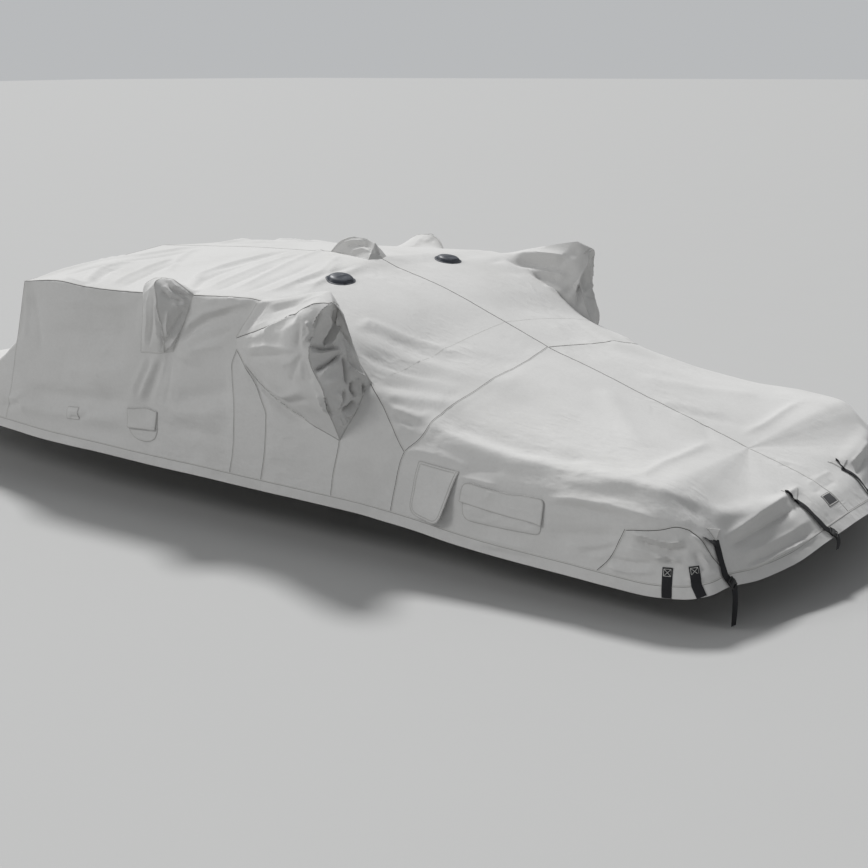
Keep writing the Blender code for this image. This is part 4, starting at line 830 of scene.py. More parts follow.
@dataclass(frozen=True)
class StitchFinish:
    """A felled seam: canvas with two rows of darker stitches along it, and a painted shadow along its turned edge."""

    name: str = "seam"
    colour: tuple[float, float, float] = (0.575, 0.57, 0.555)
    thread: tuple[float, float, float] = (0.36, 0.355, 0.34)
    # shadow is the colour of the painted shadow under the turned edge; edge is how strongly it is painted, wide how
    # far across the strip it reaches
    shadow: tuple[float, float, float] = (0.040, 0.038, 0.035)
    pitch: float = 0.0045
    edge: float = 0.55
    wide: float = 0.20

    def make(self) -> bpy.types.Material:
        """Dashes where a sine along the seam is high, in two narrow lines across it, and a painted shadow along the
        turned edge.

        Returns:
            The material.
        """
        graph = Graph(self.name)
        across, along = graph.cut()
        dash = (along * (2 * math.pi / self.pitch)).sine().ramp(-0.5, 0.1)
        line = 1 - ((across - 0.5).size() - 0.28).size().ramp(0.05, 0.11)
        stitch = dash * line
        place = graph.place()
        soil = graph.noise(place, 9.0, 3.0)
        base = graph.blend(soil * 0.35, shade(self.colour), shade(self.colour, 0.75))
        base = graph.blend(stitch * 0.8, base, shade(self.thread))
        # painted shadow: a dark band along one side of the strip, where the turned edge would shade the cloth
        base = graph.blend((1 - across.ramp(self.wide, self.wide + 0.08)) * self.edge, base, shade(self.shadow))
        return graph.surface(Base_Color=base, Roughness=0.85, Normal=graph.bump(stitch, 0.5, 0.0006),
                             Specular_IOR_Level=0.25)


@dataclass(frozen=True)
class WebbingFinish:
    """Woven polyester webbing: ribs across it, with painted light on their crests and painted shade between them, and
    a selvedge down each side.
    """

    name: str = "webbing"
    colour: tuple[float, float, float] = (0.012, 0.012, 0.014)
    rib: float = 0.0022

    def make(self) -> bpy.types.Material:
        """Chevron ribs from a sine of the length plus the distance from the middle.

        Returns:
            The material.
        """
        graph = Graph(self.name)
        across, along = graph.cut()
        rib = ((along + (across - 0.5).size() * 0.008) * (2 * math.pi / self.rib)).sine()
        selvedge = (across - 0.5).size().ramp(0.40, 0.46)
        place = graph.place()
        fade = graph.noise(place, 40.0, 3.0)
        # painted light and shade: lighter on the ribs' crests and darker between them; the fade noise is random tone
        base = graph.blend(fade * 0.5 + rib * 0.15, shade(self.colour), shade(self.colour, 2.6))
        return graph.surface(Base_Color=base, Roughness=0.7, Specular_IOR_Level=0.3,
                             Normal=graph.bump(rib * (1 - selvedge), 0.6, 0.0005))


@dataclass(frozen=True)
class PlasticFinish:
    """Moulded plastic with a fine grain and dust on it."""

    name: str
    colour: tuple[float, float, float]
    dust: tuple[float, float, float]
    roughness: float

    def make(self) -> bpy.types.Material:
        """Fine noise for grain, and coarser noise for dust.

        Returns:
            The material.
        """
        graph = Graph(self.name)
        place = graph.place()
        dust = graph.noise(place, 35.0, 4.0).ramp(0.45, 0.8)
        base = graph.blend(dust * 0.25, shade(self.colour), shade(self.dust))
        grain = graph.bump(graph.noise(place, 900.0, 2.0), 0.15, 0.0004)
        return graph.surface(Base_Color=base, Roughness=dust * 0.2 + self.roughness, Normal=grain)


FINISHES: dict[str, Any] = {
    "canvas": CanvasFinish(),
    # the seam finishes differ in the painted shadow along the turned edge: edge is how dark it is, wide how far across
    # the strip it reaches
    "seam": StitchFinish(),
    "seam_dark": StitchFinish("seam_dark", edge=0.97, wide=0.28),
    "seam_faint": StitchFinish("seam_faint", edge=0.13),
    "stitching": StitchFinish("stitching", edge=0.60),
    "thread": PlasticFinish("thread", (0.55, 0.55, 0.53), (0.4, 0.4, 0.4), 0.6),
    "webbing": WebbingFinish(),
    "buckle": PlasticFinish("buckle", (0.010, 0.010, 0.011), (0.10, 0.10, 0.10), 0.38),
    "vent": PlasticFinish("vent", (0.040, 0.046, 0.060), (0.16, 0.16, 0.16), 0.42),
    "tag": CanvasFinish("tag", (0.035, 0.036, 0.040), (0.060, 0.060, 0.062), 0.0008),
}
SLOTS = {"seam": "canvas", "seam_dark": "canvas", "seam_faint": "canvas", "stitching": "canvas",
         "thread": "webbing"}
MATERIALS: dict[str, bpy.types.Material] = {}


def finish(name: str) -> bpy.types.Material:
    """The material of a finish, made once.

    Args:
        name: name of the finish.

    Returns:
        Its material.
    """
    if name not in MATERIALS:
        MATERIALS[name] = FINISHES[name].make()
    return MATERIALS[name]


MOULDED = 25.0    # angle past which an edge of moulded plastic stays crisp, in degrees


# --- meshes ---------------------------------------------------------------------------------------------------
def make_piece(name: str, points: Array, quads: Array, triangles: Array, uv: Array, look: str,
               sharp: float = 55.0) -> bpy.types.Object:
    """Put a mesh in the scene as a finished piece of the cover.

    Args:
        name: Name of the piece.
        points: Points from the middle of the transom hem, in metres.
        quads: Four-sided faces.
        triangles: Three-sided faces.
        uv: Place of each point in its own cut, in metres.
        look: Name of its finish.
        sharp: Angle past which an edge stays crisp, in degrees.

    Returns:
        The object, which rides on the cover's body.
    """
    mesh = bpy.data.meshes.new(name)
    mesh.vertices.add(len(points))
    mesh.vertices.foreach_set("co", (points - SUPPORT).astype(np.float32).ravel())
    loops = np.concatenate([quads.ravel(), triangles.ravel()]).astype(np.int32)
    starts = np.concatenate([np.arange(len(quads)) * 4, len(quads) * 4 + np.arange(len(triangles)) * 3])
    mesh.loops.add(len(loops))
    mesh.loops.foreach_set("vertex_index", loops)
    mesh.polygons.add(len(starts))
    mesh.polygons.foreach_set("loop_start", starts.astype(np.int32))
    mesh.update(calc_edges=True)
    layer = mesh.uv_layers.new(name="cut")
    layer.data.foreach_set("uv", uv[loops].astype(np.float32).ravel())
    mesh.validate()
    mesh.shade_smooth()
    mesh.set_sharp_from_angle(angle=math.radians(sharp))
    mesh.materials.append(finish(look))
    piece = bpy.data.objects.new(name, mesh)
    bpy.context.scene.collection.objects.link(piece)
    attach(piece, "root")
    SLOTS.get(look, look)
    LOG.info("%s: %d points, %d faces", name, len(points), len(starts))
    return piece


def faces_of(columns: int, rows: int, first: int, turned: bool) -> Array:
    """Four-sided faces of a net whose points are numbered column by column from first.

    Args:
        columns: points along the first way.
        rows: points along the second way.
        first: number of the net's first point.
        turned: whether the faces look the other way.

    Returns:
        Four point numbers in each row.
    """
    number = first + np.arange(columns * rows).reshape(columns, rows)
    ring = np.stack([number[:-1, :-1], number[:-1, 1:], number[1:, 1:], number[1:, :-1]], axis=-1).reshape(-1, 4)
    return ring[:, ::-1] if turned else ring


def tidy_faces(faces: Array) -> tuple[Array, Array]:
    """Part faces into true quads and triangles, and drop those that a pole has closed.

    Args:
        faces: Rings of four points, where neighbours may be one point.

    Returns:
        The quads, and the triangles.
    """
    same = faces == np.roll(faces, -1, axis=1)
    count = same.sum(axis=1)
    quads = faces[count == 0]
    rest, drop = faces[count == 1], np.argmax(same[count == 1], axis=1)
    keep = np.array([[k for k in range(4) if k != d] for d in range(4)])
    triangles = np.take_along_axis(rest, keep[drop], axis=1) if len(rest) else np.zeros((0, 3), int)
    return quads, triangles


def border_of(quads: Array, triangles: Array) -> Array:
    """Edges that only one face has, as (from, to).

    Args:
        quads: four point numbers in each row.
        triangles: three point numbers in each row.

    Returns:
        Two point numbers in each row.
    """
    edges = np.concatenate([np.stack([f, np.roll(f, -1, axis=1)], axis=-1).reshape(-1, 2)
                            for f in (quads, triangles) if len(f)])
    low = np.sort(edges, axis=1)
    _, index, count = np.unique(low, axis=0, return_index=True, return_counts=True)
    return edges[index[count == 1]]


def both_sides(*vectors: Any) -> Iterable[list[Array]]:
    """Vectors of the port side, and the same mirrored to the starboard side."""
    for mirror in (1, -1):
        yield [np.array(vector) * (1, mirror, 1) for vector in vectors]


def tree_of(points: Array) -> KDTree:
    """A tree that finds the nearest of these points.

    Args:
        points: one point in each row.

    Returns:
        The tree.
    """
    tree = KDTree(len(points))
    for n, point in enumerate(points):
        tree.insert(point, n)
    tree.balance()
    return tree


def net_area(net: Array) -> float:
    """Area of a net, from the diagonals of its cells."""
    cross = np.cross(net[1:, 1:] - net[:-1, :-1], net[1:, :-1] - net[:-1, 1:])
    return float(np.linalg.norm(cross, axis=2).sum()) / 2


def keys_of(points: Array) -> Array:
    """One whole number triple for each point, the same for points that are the same."""
    return np.floor(points / SAME + KEY_SHIFT).astype(np.int64)


@dataclass
class Panel:
    """One panel of the cover in the welded skin."""

    name: str
    side: Side | None
    faces: Array
    used: Array
    uv: Array
    flat: tuple[float, float]
    area: float


@dataclass
class Skin:
    """The whole outer cloth as one welded surface, so that neighbouring panels share their folds."""

    pattern: Pattern
    points: Array = field(default_factory=lambda: np.zeros((0, 3)))
    normals: Array = field(default_factory=lambda: np.zeros((0, 3)))
    panels: list[Panel] = field(default_factory=list)
    rings: Array = field(default_factory=lambda: np.zeros((0, 4), int))
    moves: Array = field(default_factory=lambda: np.zeros((0, 3)))
    lofted: KDTree | None = None
    tree: BVHTree | None = None

    WHOLE = ("front_wall", "ridge_pocket")
    UNPUCKERED = "ridge_fore"
    TIPS = (((-2.262, -1.320, 1.236), 0.130, (-0.030, 0.004, -0.046)),
            ((-3.560, -1.240, 1.232), 0.080, (0.0, 0.010, -0.012)))
    ROUND = (((-2.292, -1.312, 1.190), 0.100), ((-3.560, -1.235, 1.222), 0.060), ((-3.035, 0.0, 1.318), 0.060))
    ROUNDS, ROUND_SLOPE, DRIFT, TIP_POWER = 24, 1.3, 0.6, 1.3
    RUN_STEP = 13.7      # keeps the puckers of one seam unlike those of the next
    FINISHED_SHARE = 0.32    # least share of its flat rectangle that a panel fills
    TAUT = 0.7           # slack of a panel that isn't named next
    SLACK = {"roof": 0.6, "side_fore": 1.7, "side_mid": 1.6, "side_aft": 1.6, "stern_corner": 1.5,
             "aft_deck": 1.0, "bow": 1.0, "tower_pocket": 1.7,
             "tower_pocket_end": 2.2, "knuckle_gusset": 1.6, "knuckle_pocket": 1.4, "ridge_pocket": 1.0}

    def weld(self) -> None:
        """Weld every net of both sides, and note which panel each face belongs to."""
        points, faces, uvs, cuts, total = [], [], [], [], 0
        for side in Side:
            for name, nets in self.pattern.nets.items():
                wide = long = area = 0.0
                start = sum(map(len, faces))
                for net in nets:
                    columns, rows = net.shape[:2]
                    points.append((net * (1, -side.value, 1)).reshape(-1, 3))
                    faces.append(faces_of(columns, rows, total, side is Side.STARBOARD))
                    down, aft = (np.linalg.norm(np.diff(net, axis=axis), axis=2) for axis in (1, 0))
                    v = np.concatenate([np.zeros((columns, 1)), np.cumsum(down, axis=1)], axis=1)
                    u = np.concatenate([[0], np.cumsum(aft.mean(axis=1))])
                    uvs.append(np.stack(np.broadcast_arrays(u[:, None], v), axis=-1).reshape(-1, 2))
                    total += columns * rows
                    area += net_area(net)
                    wide, long = max(wide, float(v.max())), max(long, float(aft.sum(axis=0).max()))
                cuts.append((name, side, slice(start, sum(map(len, faces))), (wide, long), area))
        flat, raw, uv = (np.concatenate(rows) for rows in (points, faces, uvs))
        _, first, number = np.unique(keys_of(flat), axis=0, return_index=True, return_inverse=True)
        self.points = self.blunt(flat[first])
        self.rings = number.reshape(-1)[raw]
        for name, side, mine, size, area in cuts:
            used, where = np.unique(self.rings[mine].ravel(), return_index=True)
            self.panels.append(Panel(name, side, self.rings[mine], used, uv[raw[mine].ravel()[where]], size, area))
        self.turn()

    def blunt(self, points: Array) -> Array:
        """Press the pockets' tips in, by the press times (1 - d / r) to the power 1.3 at distance d from each.

        Args:
            points: the lofted skin.

        Returns:
            The pressed skin.
        """
        for place, radius, press in self.TIPS:
            for here, push in both_sides(place, press):
                part = np.clip(1 - np.linalg.norm(points - here, axis=1) / radius, 0, 1) ** self.TIP_POWER
                points = points + part[:, None] * push
        return points

    def soften(self, points: Array) -> Array:
        """Round the pockets' tips: within each reach, every point drifts to the mean of its neighbours.

        Args:
            points: the skin.

        Returns:
            The softened skin.
        """
        for place, reach in self.ROUND:
            for here, in both_sides(place):
                part = np.clip(self.ROUND_SLOPE - self.ROUND_SLOPE * np.linalg.norm(points - here, axis=1) / reach,
                               0, 1)
                rings = self.rings[(part[self.rings] > 0).any(axis=1)]
                used, local = np.unique(rings, return_inverse=True)
                local = local.reshape(rings.shape)
                own, part = points[used], part[used][:, None] * self.DRIFT
                for _ in range(self.ROUNDS):
                    total, count = np.zeros_like(own), np.zeros((len(used), 1))
                    for step in (1, 3):
                        np.add.at(total, local, own[np.roll(local, step, axis=1)])
                        np.add.at(count, local, 1.0)
                    own = own + part * (total / count - own)
                points[used] = own
        return points

    def turn(self) -> None:
        """Find each point's normal: the sum of its faces' area normals."""
        p = self.points[self.rings]
        cross = np.cross(p[:, 2] - p[:, 0], p[:, 3] - p[:, 1])
        normals = np.zeros_like(self.points)
        for k in range(4):
            np.add.at(normals, self.rings[:, k], cross)
        self.normals = normals / np.maximum(np.linalg.norm(normals, axis=1), 1e-12)[:, None]

    def calm(self) -> Array:
        """How slack each point's cloth is: its panel's slack, the least where panels meet.

        Returns:
            A number for each point.
        """
        slack = np.full(len(self.points), math.inf)
        for panel in self.panels:
            slack[panel.used] = np.minimum(slack[panel.used], self.SLACK.get(panel.name, self.TAUT))
        return slack

    def seam_distance(self) -> tuple[Array, Array]:
        """Distance of each point from the nearest seam, and how far along it the nearest place lies.

        Returns:
            Two numbers for each point, in metres.
        """
        lines, runs = [], []
        for name, line in self.pattern.seams.items():
            if name == self.UNPUCKERED:
                continue
            run = lengths(line)
            for mirrored, in both_sides(line):
                lines.append(mirrored)
                runs.append(run + self.RUN_STEP * len(runs))
        seam, run = np.concatenate(lines), np.concatenate(runs)
        tree = tree_of(seam)
        found = [tree.find(point)[1:] for point in self.points]
        return np.array([f[1] for f in found]), run[np.array([f[0] for f in found])]

    def drape(self, folds: "Drape") -> None:
        """Lift and sink the skin by its folds, and make its tree.

        Args:
            folds: the folds.
        """
        distance, run = self.seam_distance()
        self.lofted = tree_of(self.points)
        plain = self.points
        self.points = self.soften(plain + folds.shift(plain, self.normals, self.calm(), distance, run))
        self.moves = self.points - plain
        self.turn()
        self.tree = BVHTree.FromPolygons(self.points.tolist(), sum((f.tolist() for f in tidy_faces(self.rings)), []))

    def sew(self) -> None:
        """Make every panel a sheet with its own thickness, which replaces its plain solid."""
        halves: dict[str, list[Panel]] = {}
        for panel in self.panels:
            label = panel.name if panel.name in self.WHOLE else f"{panel.name}_{panel.side.word}"
            halves.setdefault(label, []).append(panel)
        for label, group in halves.items():
            rings = np.concatenate([panel.faces for panel in group])
            used, where = np.unique(np.concatenate([panel.used for panel in group]), return_index=True)
            uv = np.concatenate([panel.uv for panel in group])[where]
            local = np.full(len(self.points), -1)
            local[used] = np.arange(len(used))
            quads, triangles = tidy_faces(local[rings])
            outer = self.points[used]
            inner = outer - self.normals[used] * CLOTH
            count = len(used)
            edge = border_of(quads, triangles)
            rim = np.stack([edge[:, 1], edge[:, 0], edge[:, 0] + count, edge[:, 1] + count], axis=1)
            piece = make_piece(label + "_cloth", np.concatenate([outer, inner]),
                               np.concatenate([quads, quads[:, ::-1] + count, rim]),
                               np.concatenate([triangles, triangles[:, ::-1] + count]),
                               np.concatenate([uv, uv]), "canvas")
            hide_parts(label)
            wide = max(panel.flat[0] for panel in group) * len(group)
            long, area = max(panel.flat[1] for panel in group), sum(panel.area for panel in group)
            long = max(long, area / wide)
            wide = min(wide, area / self.FINISHED_SHARE / long)


# --- folds ----------------------------------------------------------------------------------------------------
# Half width, height, the place (x, y, z) where the fold's crest or hollow starts, and the step from each place
# that it runs through to the next, all in millimetres.  A fold of the first table has a fellow on the other side.
PAIRED_FOLDS = rows_of("""
# roof, fore of the small pockets
30 18 -4768 -1172 1089 -38 332 25 10 266 25 279 74 46 69 230 15 2 291 5
26 -16 -4568 -1110 1121 -2 226 28 96 175 24 104 239 19 73 281 16
22 16 -4284 -1145 1111 -96 120 20 -78 144 23 21 120 15 59 110 11
20 -12 -4218 -1144 1110 -97 122 20 -60 120 17 28 105 15
18 10 -4507 -1132 1122 125 -18 -6 106 -11 -8
26 16 -4083 -1144 1110 -72 196 29 -30 210 28 3 253 27
22 -14 -3983 -1160 1108 -51 161 29 -52 213 24 5 233 29
20 14 -3935 -836 1160 -156 225 23 -148 237 17 -114 243 8
# side, under the small pocket
16 12 -3630 -1253 757 -62 -10 -120 -84 -7 -149
15 -12 -3680 -1251 751 -57 -15 -125 -74 -8 -124
16 10 -3715 -1248 747 -66 -16 -132 -56 -9 -104
16 -9 -3595 -1248 760 -50 -7 -125 -74 -8 -147
15 8 -3571 -1242 756 -29 -10 -128 -60 -14 -143
20 -6 -3529 -1238 737 -1 -23 -122 -45 -10 -130
# side, from the small pocket's foot towards the large pocket
20 16 -3473 -1229 889 77 12 79 105 6 64 186 10 54 175 18 45
18 -14 -3448 -1233 864 79 18 73 118 7 63 188 8 57
18 12 -3445 -1236 848 157 15 81 181 1 56 114 4 26
18 -10 -3409 -1243 825 164 7 71 175 6 61
18 8 -3424 -1245 806 167 3 45 130 6 24
12 6 -3498 -1235 774 102 -9 -4 90 0 -19
11 -6 -3514 -1235 755 84 -8 -12 68 -1 -26
20 9 -3352 -1208 1065 147 5 43 169 9 24
# side, over the gunwale
50 -20 -4822 -1233 413 353 -21 16 327 -12 13 279 -9 25
45 13 -4969 -1228 325 399 -25 -1 425 -18 16 274 -4 19
50 -20 -3511 -1269 533 245 3 41 203 11 51
45 13 -3544 -1273 454 249 1 33 224 3 39
36 -15 -3545 -1276 385 218 -2 -16 242 0 0
26 11 -4925 -1226 393 99 -11 -61 -23 -2 -66
16 13 -5012 -1221 356 85 -8 0 125 -6 47
14 -11 -5035 -1222 303 96 -9 7 114 -6 34
14 11 -4398 -1261 360 111 -4 3 109 -1 50
12 -11 -4381 -1263 320 92 -4 0 91 -2 37
# front corner of the side
24 9 -4796 -1173 1068 1 -16 -169 -28 -15 -173
24 -9 -4727 -1179 1050 43 -21 -176 24 -22 -190
34 8 -4477 -1199 1001 440 -11 4 245 4 56
40 -8 -4565 -1215 815 452 -16 11 315 4 65
34 6 -4465 -1244 587 360 -12 19 253 2 63
# small pocket
14 14 -3619 -1305 1144 -28 11 -116 -49 31 -122 -34 18 -98
12 -14 -3571 -1323 1139 -29 13 -115 -54 36 -123 -41 25 -100
12 12 -3532 -1333 1100 -31 22 -118 -36 34 -121
11 16 -3526 -1240 1210 56 -12 -33 48 27 -32 37 23 -28
10 -17 -3533 -1256 1206 58 -15 -43 47 36 -34 33 27 -20
11 14 -3514 -1292 1184 42 9 -42 38 37 -29 30 30 -18
10 -12 -3511 -1312 1154 41 25 -44 50 56 -25
12 12 -3463 -1281 1082 21 25 -18 37 40 14
12 -14 -3558 -1264 841 61 -1 74 51 23 80 31 19 56
12 12 -3552 -1241 804 53 -3 62 37 14 58
11 -12 -3527 -1315 986 -29 29 -97 -25 35 -87
10 12 -3482 -1295 1043 -28 6 -92 -17 27 -85
# large pocket, outer panel
22 17 -2771 -1321 994 127 -16 57 142 -20 73
22 -19 -2525 -1346 1115 99 -80 -56 -17 -6 -78 29 3 -38
18 20 -2459 -1375 1141 61 -43 -55 -4 -7 -71 7 -2 -55
11 12 -2418 -1429 911 -2 4 -52 -9 11 -65
13 -12 -2396 -1427 924 20 4 -71 15 11 -72
16 12 -2917 -1290 883 209 -73 50 226 -71 14 74 5 1
20 -12 -2910 -1285 840 260 -99 49 193 -49 39
22 14 -2816 -1284 726 157 -22 -64 225 -93 71
18 -12 -2779 -1265 661 154 -34 -28 209 -83 52
26 -24 -2977 -1246 777 91 -9 -87 131 -8 -80 134 -4 -59 130 -1 -25
16 14 -3001 -1246 862 47 -3 -115 113 -10 -94 129 -6 -70
14 10 -2402 -1428 949 -87 -1 -66 -97 32 -37
13 -10 -2408 -1429 938 -61 6 -95 -64 39 -88
16 10 -2402 -1428 949 83 41 -272
# large pocket, end panel
12 -50 -2319 -1370 1147 -16 -14 -45 -16 -29 -63 -21 -9 -42
13 34 -2322 -1335 1142 -32 44 -81 1 -12 -75
11 28 -2383 -1412 1107 27 -3 -58 -34 -9 -53
12 -48 -2324 -1276 1149 -39 52 -78 10 -54 -73 8 -36 -36
12 36 -2338 -1220 1125 -23 25 -78 20 -59 -62 8 -34 -30
9 -31 -2365 -1424 973 19 95 -18 31 91 -1
10 31 -2390 -1427 940 48 77 -8 21 62 3 19 58 3
12 -48 -2297 -1229 928 -6 -82 -34 -18 -67 -27 -24 -43 -16
20 28 -2319 -1414 817 17 61 43 13 81 29
28 22 -2295 -1406 767 18 67 31 3 54 33
10 -48 -2288 -1223 913 19 -19 -68 14 -16 -84
10 34 -2264 -1223 847 19 24 -33 29 46 -36
9 -42 -2247 -1223 781 3 -13 -44 12 17 -44
9 34 -2238 -1200 789 14 5 -52 4 -5 -46
9 -34 -2222 -1180 766 10 4 -26 -3 -14 -34
11 -48 -2231 -1221 678 -15 -31 -33 -22 -39 -22
11 34 -2222 -1207 661 -20 -35 -44 -23 -29 -29
10 -34 -2257 -1276 743 -1 -9 -51 -14 -24 -50
13 31 -2272 -1331 746 6 23 -56 -17 -29 -49
8 14 -2272 -1295 613 6 24 -30 2 14 -29
8 -14 -2264 -1280 617 10 27 -31 7 7 -21
8 13 -2280 -1309 604 1 22 -36 0 15 -29
11 25 -2356 -1192 1047 30 1 -60 37 -6 -63 26 -2 -60
8 -25 -2343 -1192 1012 43 -8 -68 24 -7 -54 26 15 -57
8 14 -2322 -1188 982 32 0 -54 30 10 -61 37 25 -74
9 20 -2331 -1404 731 12 17 -54 17 25 -55
9 -20 -2291 -1404 725 2 28 -57 -3 40 -70
# roof, just above the large pocket
12 9 -2895 -1175 1133 -41 -38 -85 -61 -26 -99
11 -10 -2841 -1204 1131 -47 -22 -76 -63 -22 -84
18 8 -2817 -1216 1113 173 -22 45 168 -20 43
16 -8 -2779 -1244 1089 143 -20 41 97 -17 27
14 8 -2526 -1280 1163 86 -6 34 67 -16 13
# stern corner
14 25 -614 -1254 261 77 10 -3 66 11 -15 64 22 -4 41 27 19
16 -23 -592 -1255 231 78 8 -16 99 25 -12 68 42 29
16 14 -635 -1261 201 114 9 -19 93 19 -12
13 -14 -706 -1271 128 113 4 -4 96 13 10
12 14 -723 -1276 87 123 4 -7 125 16 20
13 16 -494 -1251 153 65 19 26 62 17 -26
12 -14 -454 -1242 158 36 9 -5 46 10 -23
14 14 -308 -1155 200 27 9 -46 28 7 -34
12 -14 -328 -1175 201 28 7 -44 31 0 -46
10 13 -348 -1228 79 62 35 12 55 91 18
14 14 -358 -1162 283 46 13 -53 44 37 -63
# large pocket, fullness
70 28 -2314 -1320 1161 -47 87 -88
45 12 -2424 -1418 1104 5 -11 -126
""")
SINGLE_FOLDS = rows_of("""
# roof, between the small and the large pockets
26 15 -3435 -1226 1166 -238 388 3 -18 188 20 1 279 26 -7 265 14
24 -14 -3407 -1209 1144 -152 285 15 -18 203 27 8 252 25
24 12 -3365 -1127 1137 -35 183 25 -14 182 23 -44 292 28 -55 338 19
22 -9 -3280 -1153 1136 -22 185 26 -22 209 24 -52 285 27
24 12 -3189 -1138 1142 -22 219 26 -64 259 27 -92 319 28 -107 372 13 156 -35 44
26 -9 -3071 -1155 1143 -30 213 20 -24 264 28 -81 347 30
22 9 -2970 -1138 1144 -25 309 25 -43 331 31 -199 411 34 -2 61 30
26 -8 -2966 -864 1159 -18 336 31 -7 247 17
26 9 -2913 -875 1148 0 295 19 -55 421 40
30 -9 -3651 -760 1179 21 218 24 -6 219 17 -12 255 12
18 8 -2850 -865 1141 -54 169 19 -89 215 35 -117 218 25
# deck, between the large pockets and the transverse seam
30 12 -2323 -1215 1110 -139 409 -108 163 95 -80 162 107 -60 148 40 -45 139 24 -38
34 -8 -2459 -957 981 79 105 -29 145 108 -73 157 56 -52 152 23 -41
26 9 -2395 -1005 936 111 96 -57 148 83 -57 172 67 -41 160 27 -39
22 -9 -2365 -1036 906 101 30 -63 140 57 -53 174 79 -36
22 7 -2119 -546 866 137 97 -34 190 126 -50
20 -6 -2076 -617 838 155 77 -40 140 40 -34
24 9 -2237 -1041 815 170 68 -51 163 74 -31 115 52 -22
20 -9 -2162 -1107 750 117 59 -18 140 44 -22 116 83 -17
18 9 -2104 -1150 712 137 57 -25 130 62 -16 51 34 -5
15 -8 -2073 -1166 682 113 27 -22 110 39 -19
14 7 -2040 -1176 652 98 13 -22 89 15 -22
12 -6 -2022 -1183 619 68 2 -23 71 4 -17
12 6 -1989 -1194 589 64 -2 -22 45 -2 -20
18 -5 -1891 -448 797 95 -8 -26 60 25 -14
14 4 -2036 -64 890 107 42 -41 99 31 -40
12 -4 -2028 -179 880 116 24 -43 109 36 -39
# deck, aft of the transverse seam
60 -16 -1785 -1105 614 139 12 -36 192 -2 -34 148 -12 -22 197 50 -7 162 27 -12
56 12 -1762 -1173 553 201 8 -30 236 -3 -31 258 5 -12
46 -12 -1123 -1034 523 215 23 -23 204 10 -15
42 10 -900 -1131 489 217 -5 -19 190 11 -34 95 38 -61
22 8 -1931 -1249 452 110 21 16 174 13 -18 149 -8 -37
16 -8 -1576 -1232 403 109 15 18 129 17 16
16 8 -1592 -1242 377 116 4 -3 139 1 -9
30 9 -1023 -1198 431 186 15 12 206 46 21
22 14 -1074 -1240 349 161 5 20 170 2 -1 163 7 -17 103 18 -20
18 -13 -1057 -1250 320 173 4 13 170 0 -5 142 8 -16
34 -14 -1054 -1269 191 184 3 12 227 8 39
20 10 -942 -1272 148 159 5 28 141 8 53
16 -9 -864 -1274 123 124 7 41 70 3 32
14 7 -809 -1276 104 71 5 27 40 3 22
26 6 -1480 -1285 78 174 3 5 170 1 6
22 -6 -1419 -1287 48 185 1 -1 157 2 4
34 9 -1151 5 584 154 111 -46 153 103 -44
22 -10 -1117 -2 573 157 70 -48 139 103 -41 127 55 -38
18 8 -1015 -59 542 143 43 -49 81 27 -27
20 -8 -890 44 500 74 -103 -23 90 -114 -23
26 11 -726 -173 454 23 -301 9 14 -331 14 26 -213 3 -61 -140 -16
26 10 -670 892 479 1 -325 -19 4 -251 -17 -23 -204 -6
30 4 -578 -2 390 143 31 -44 146 75 -49
30 -10 -527 -1138 443 104 39 -50 88 52 -74
# stern edge
22 21 -264 -1022 239 14 119 14 10 210 27 8 253 3 -20 298 -2
22 -23 -243 -1030 197 27 146 4 15 191 11 13 181 16 10 196 14
24 13 -207 -964 147 32 219 -5 30 236 12 33 190 28
18 -12 -188 -959 101 44 217 1 40 238 13 25 147 21
12 14 -178 -956 77 52 267 14 45 229 16 23 142 13
14 14 -266 855 303 25 -190 -18 26 -213 -17
18 -14 -231 767 247 32 -174 -19 28 -164 -3
20 5 -236 -102 274 -5 169 2 1 192 -1
20 -5 -186 -144 250 7 141 -1 -6 179 0
9 -14 -177 -977 64 52 262 15 49 244 17 19 102 12
# ridge pocket
12 9 -3285 -6 1295 80 -3 23 92 0 3
10 -10 -3244 -19 1281 95 -3 18 97 -8 -11
10 9 -3200 -37 1255 93 0 24 83 -10 -17
9 -10 -3097 -10 1319 38 -21 -31 36 -27 -37
9 9 -3041 -13 1305 19 -7 -28 16 -12 -39
8 -8 -3017 -8 1276 9 -1 -17 12 3 -23
# starboard
34 -34 -2781 1046 1118 130 84 -26 189 10 -26 154 40 -38
26 26 -2802 1150 1138 194 32 10 161 6 -3 127 35 -8
30 -28 -2613 1070 1044 142 37 -32 133 26 -38
26 22 -2682 1059 1079 155 66 -23 165 22 -28
24 -22 -2474 1160 1101 81 37 47 63 42 38
22 18 -2469 1007 979 84 82 -48 101 55 -50
22 -22 -2365 1033 908 20 87 48 22 88 23
22 -18 -2330 1215 1137 -28 89 -121 64 -68 -96
20 16 -2336 1354 1096 -29 69 -160 90 -114 -115
20 8 -2093 579 851 219 -91 -62 135 -48 -32
16 -8 -2072 684 825 244 -134 -53 140 -81 -32
16 7 -2012 750 797 167 -74 -34 156 -85 -31
20 8 -1666 428 737 201 -8 -59 219 71 -69
18 -7 -1661 303 745 217 -18 -65 251 2 -74
16 6 -1644 159 747 205 -23 -64 250 1 -83
14 10 -3515 1160 1163 13 52 30
14 -10 -3469 1176 1164 -9 48 29
""")


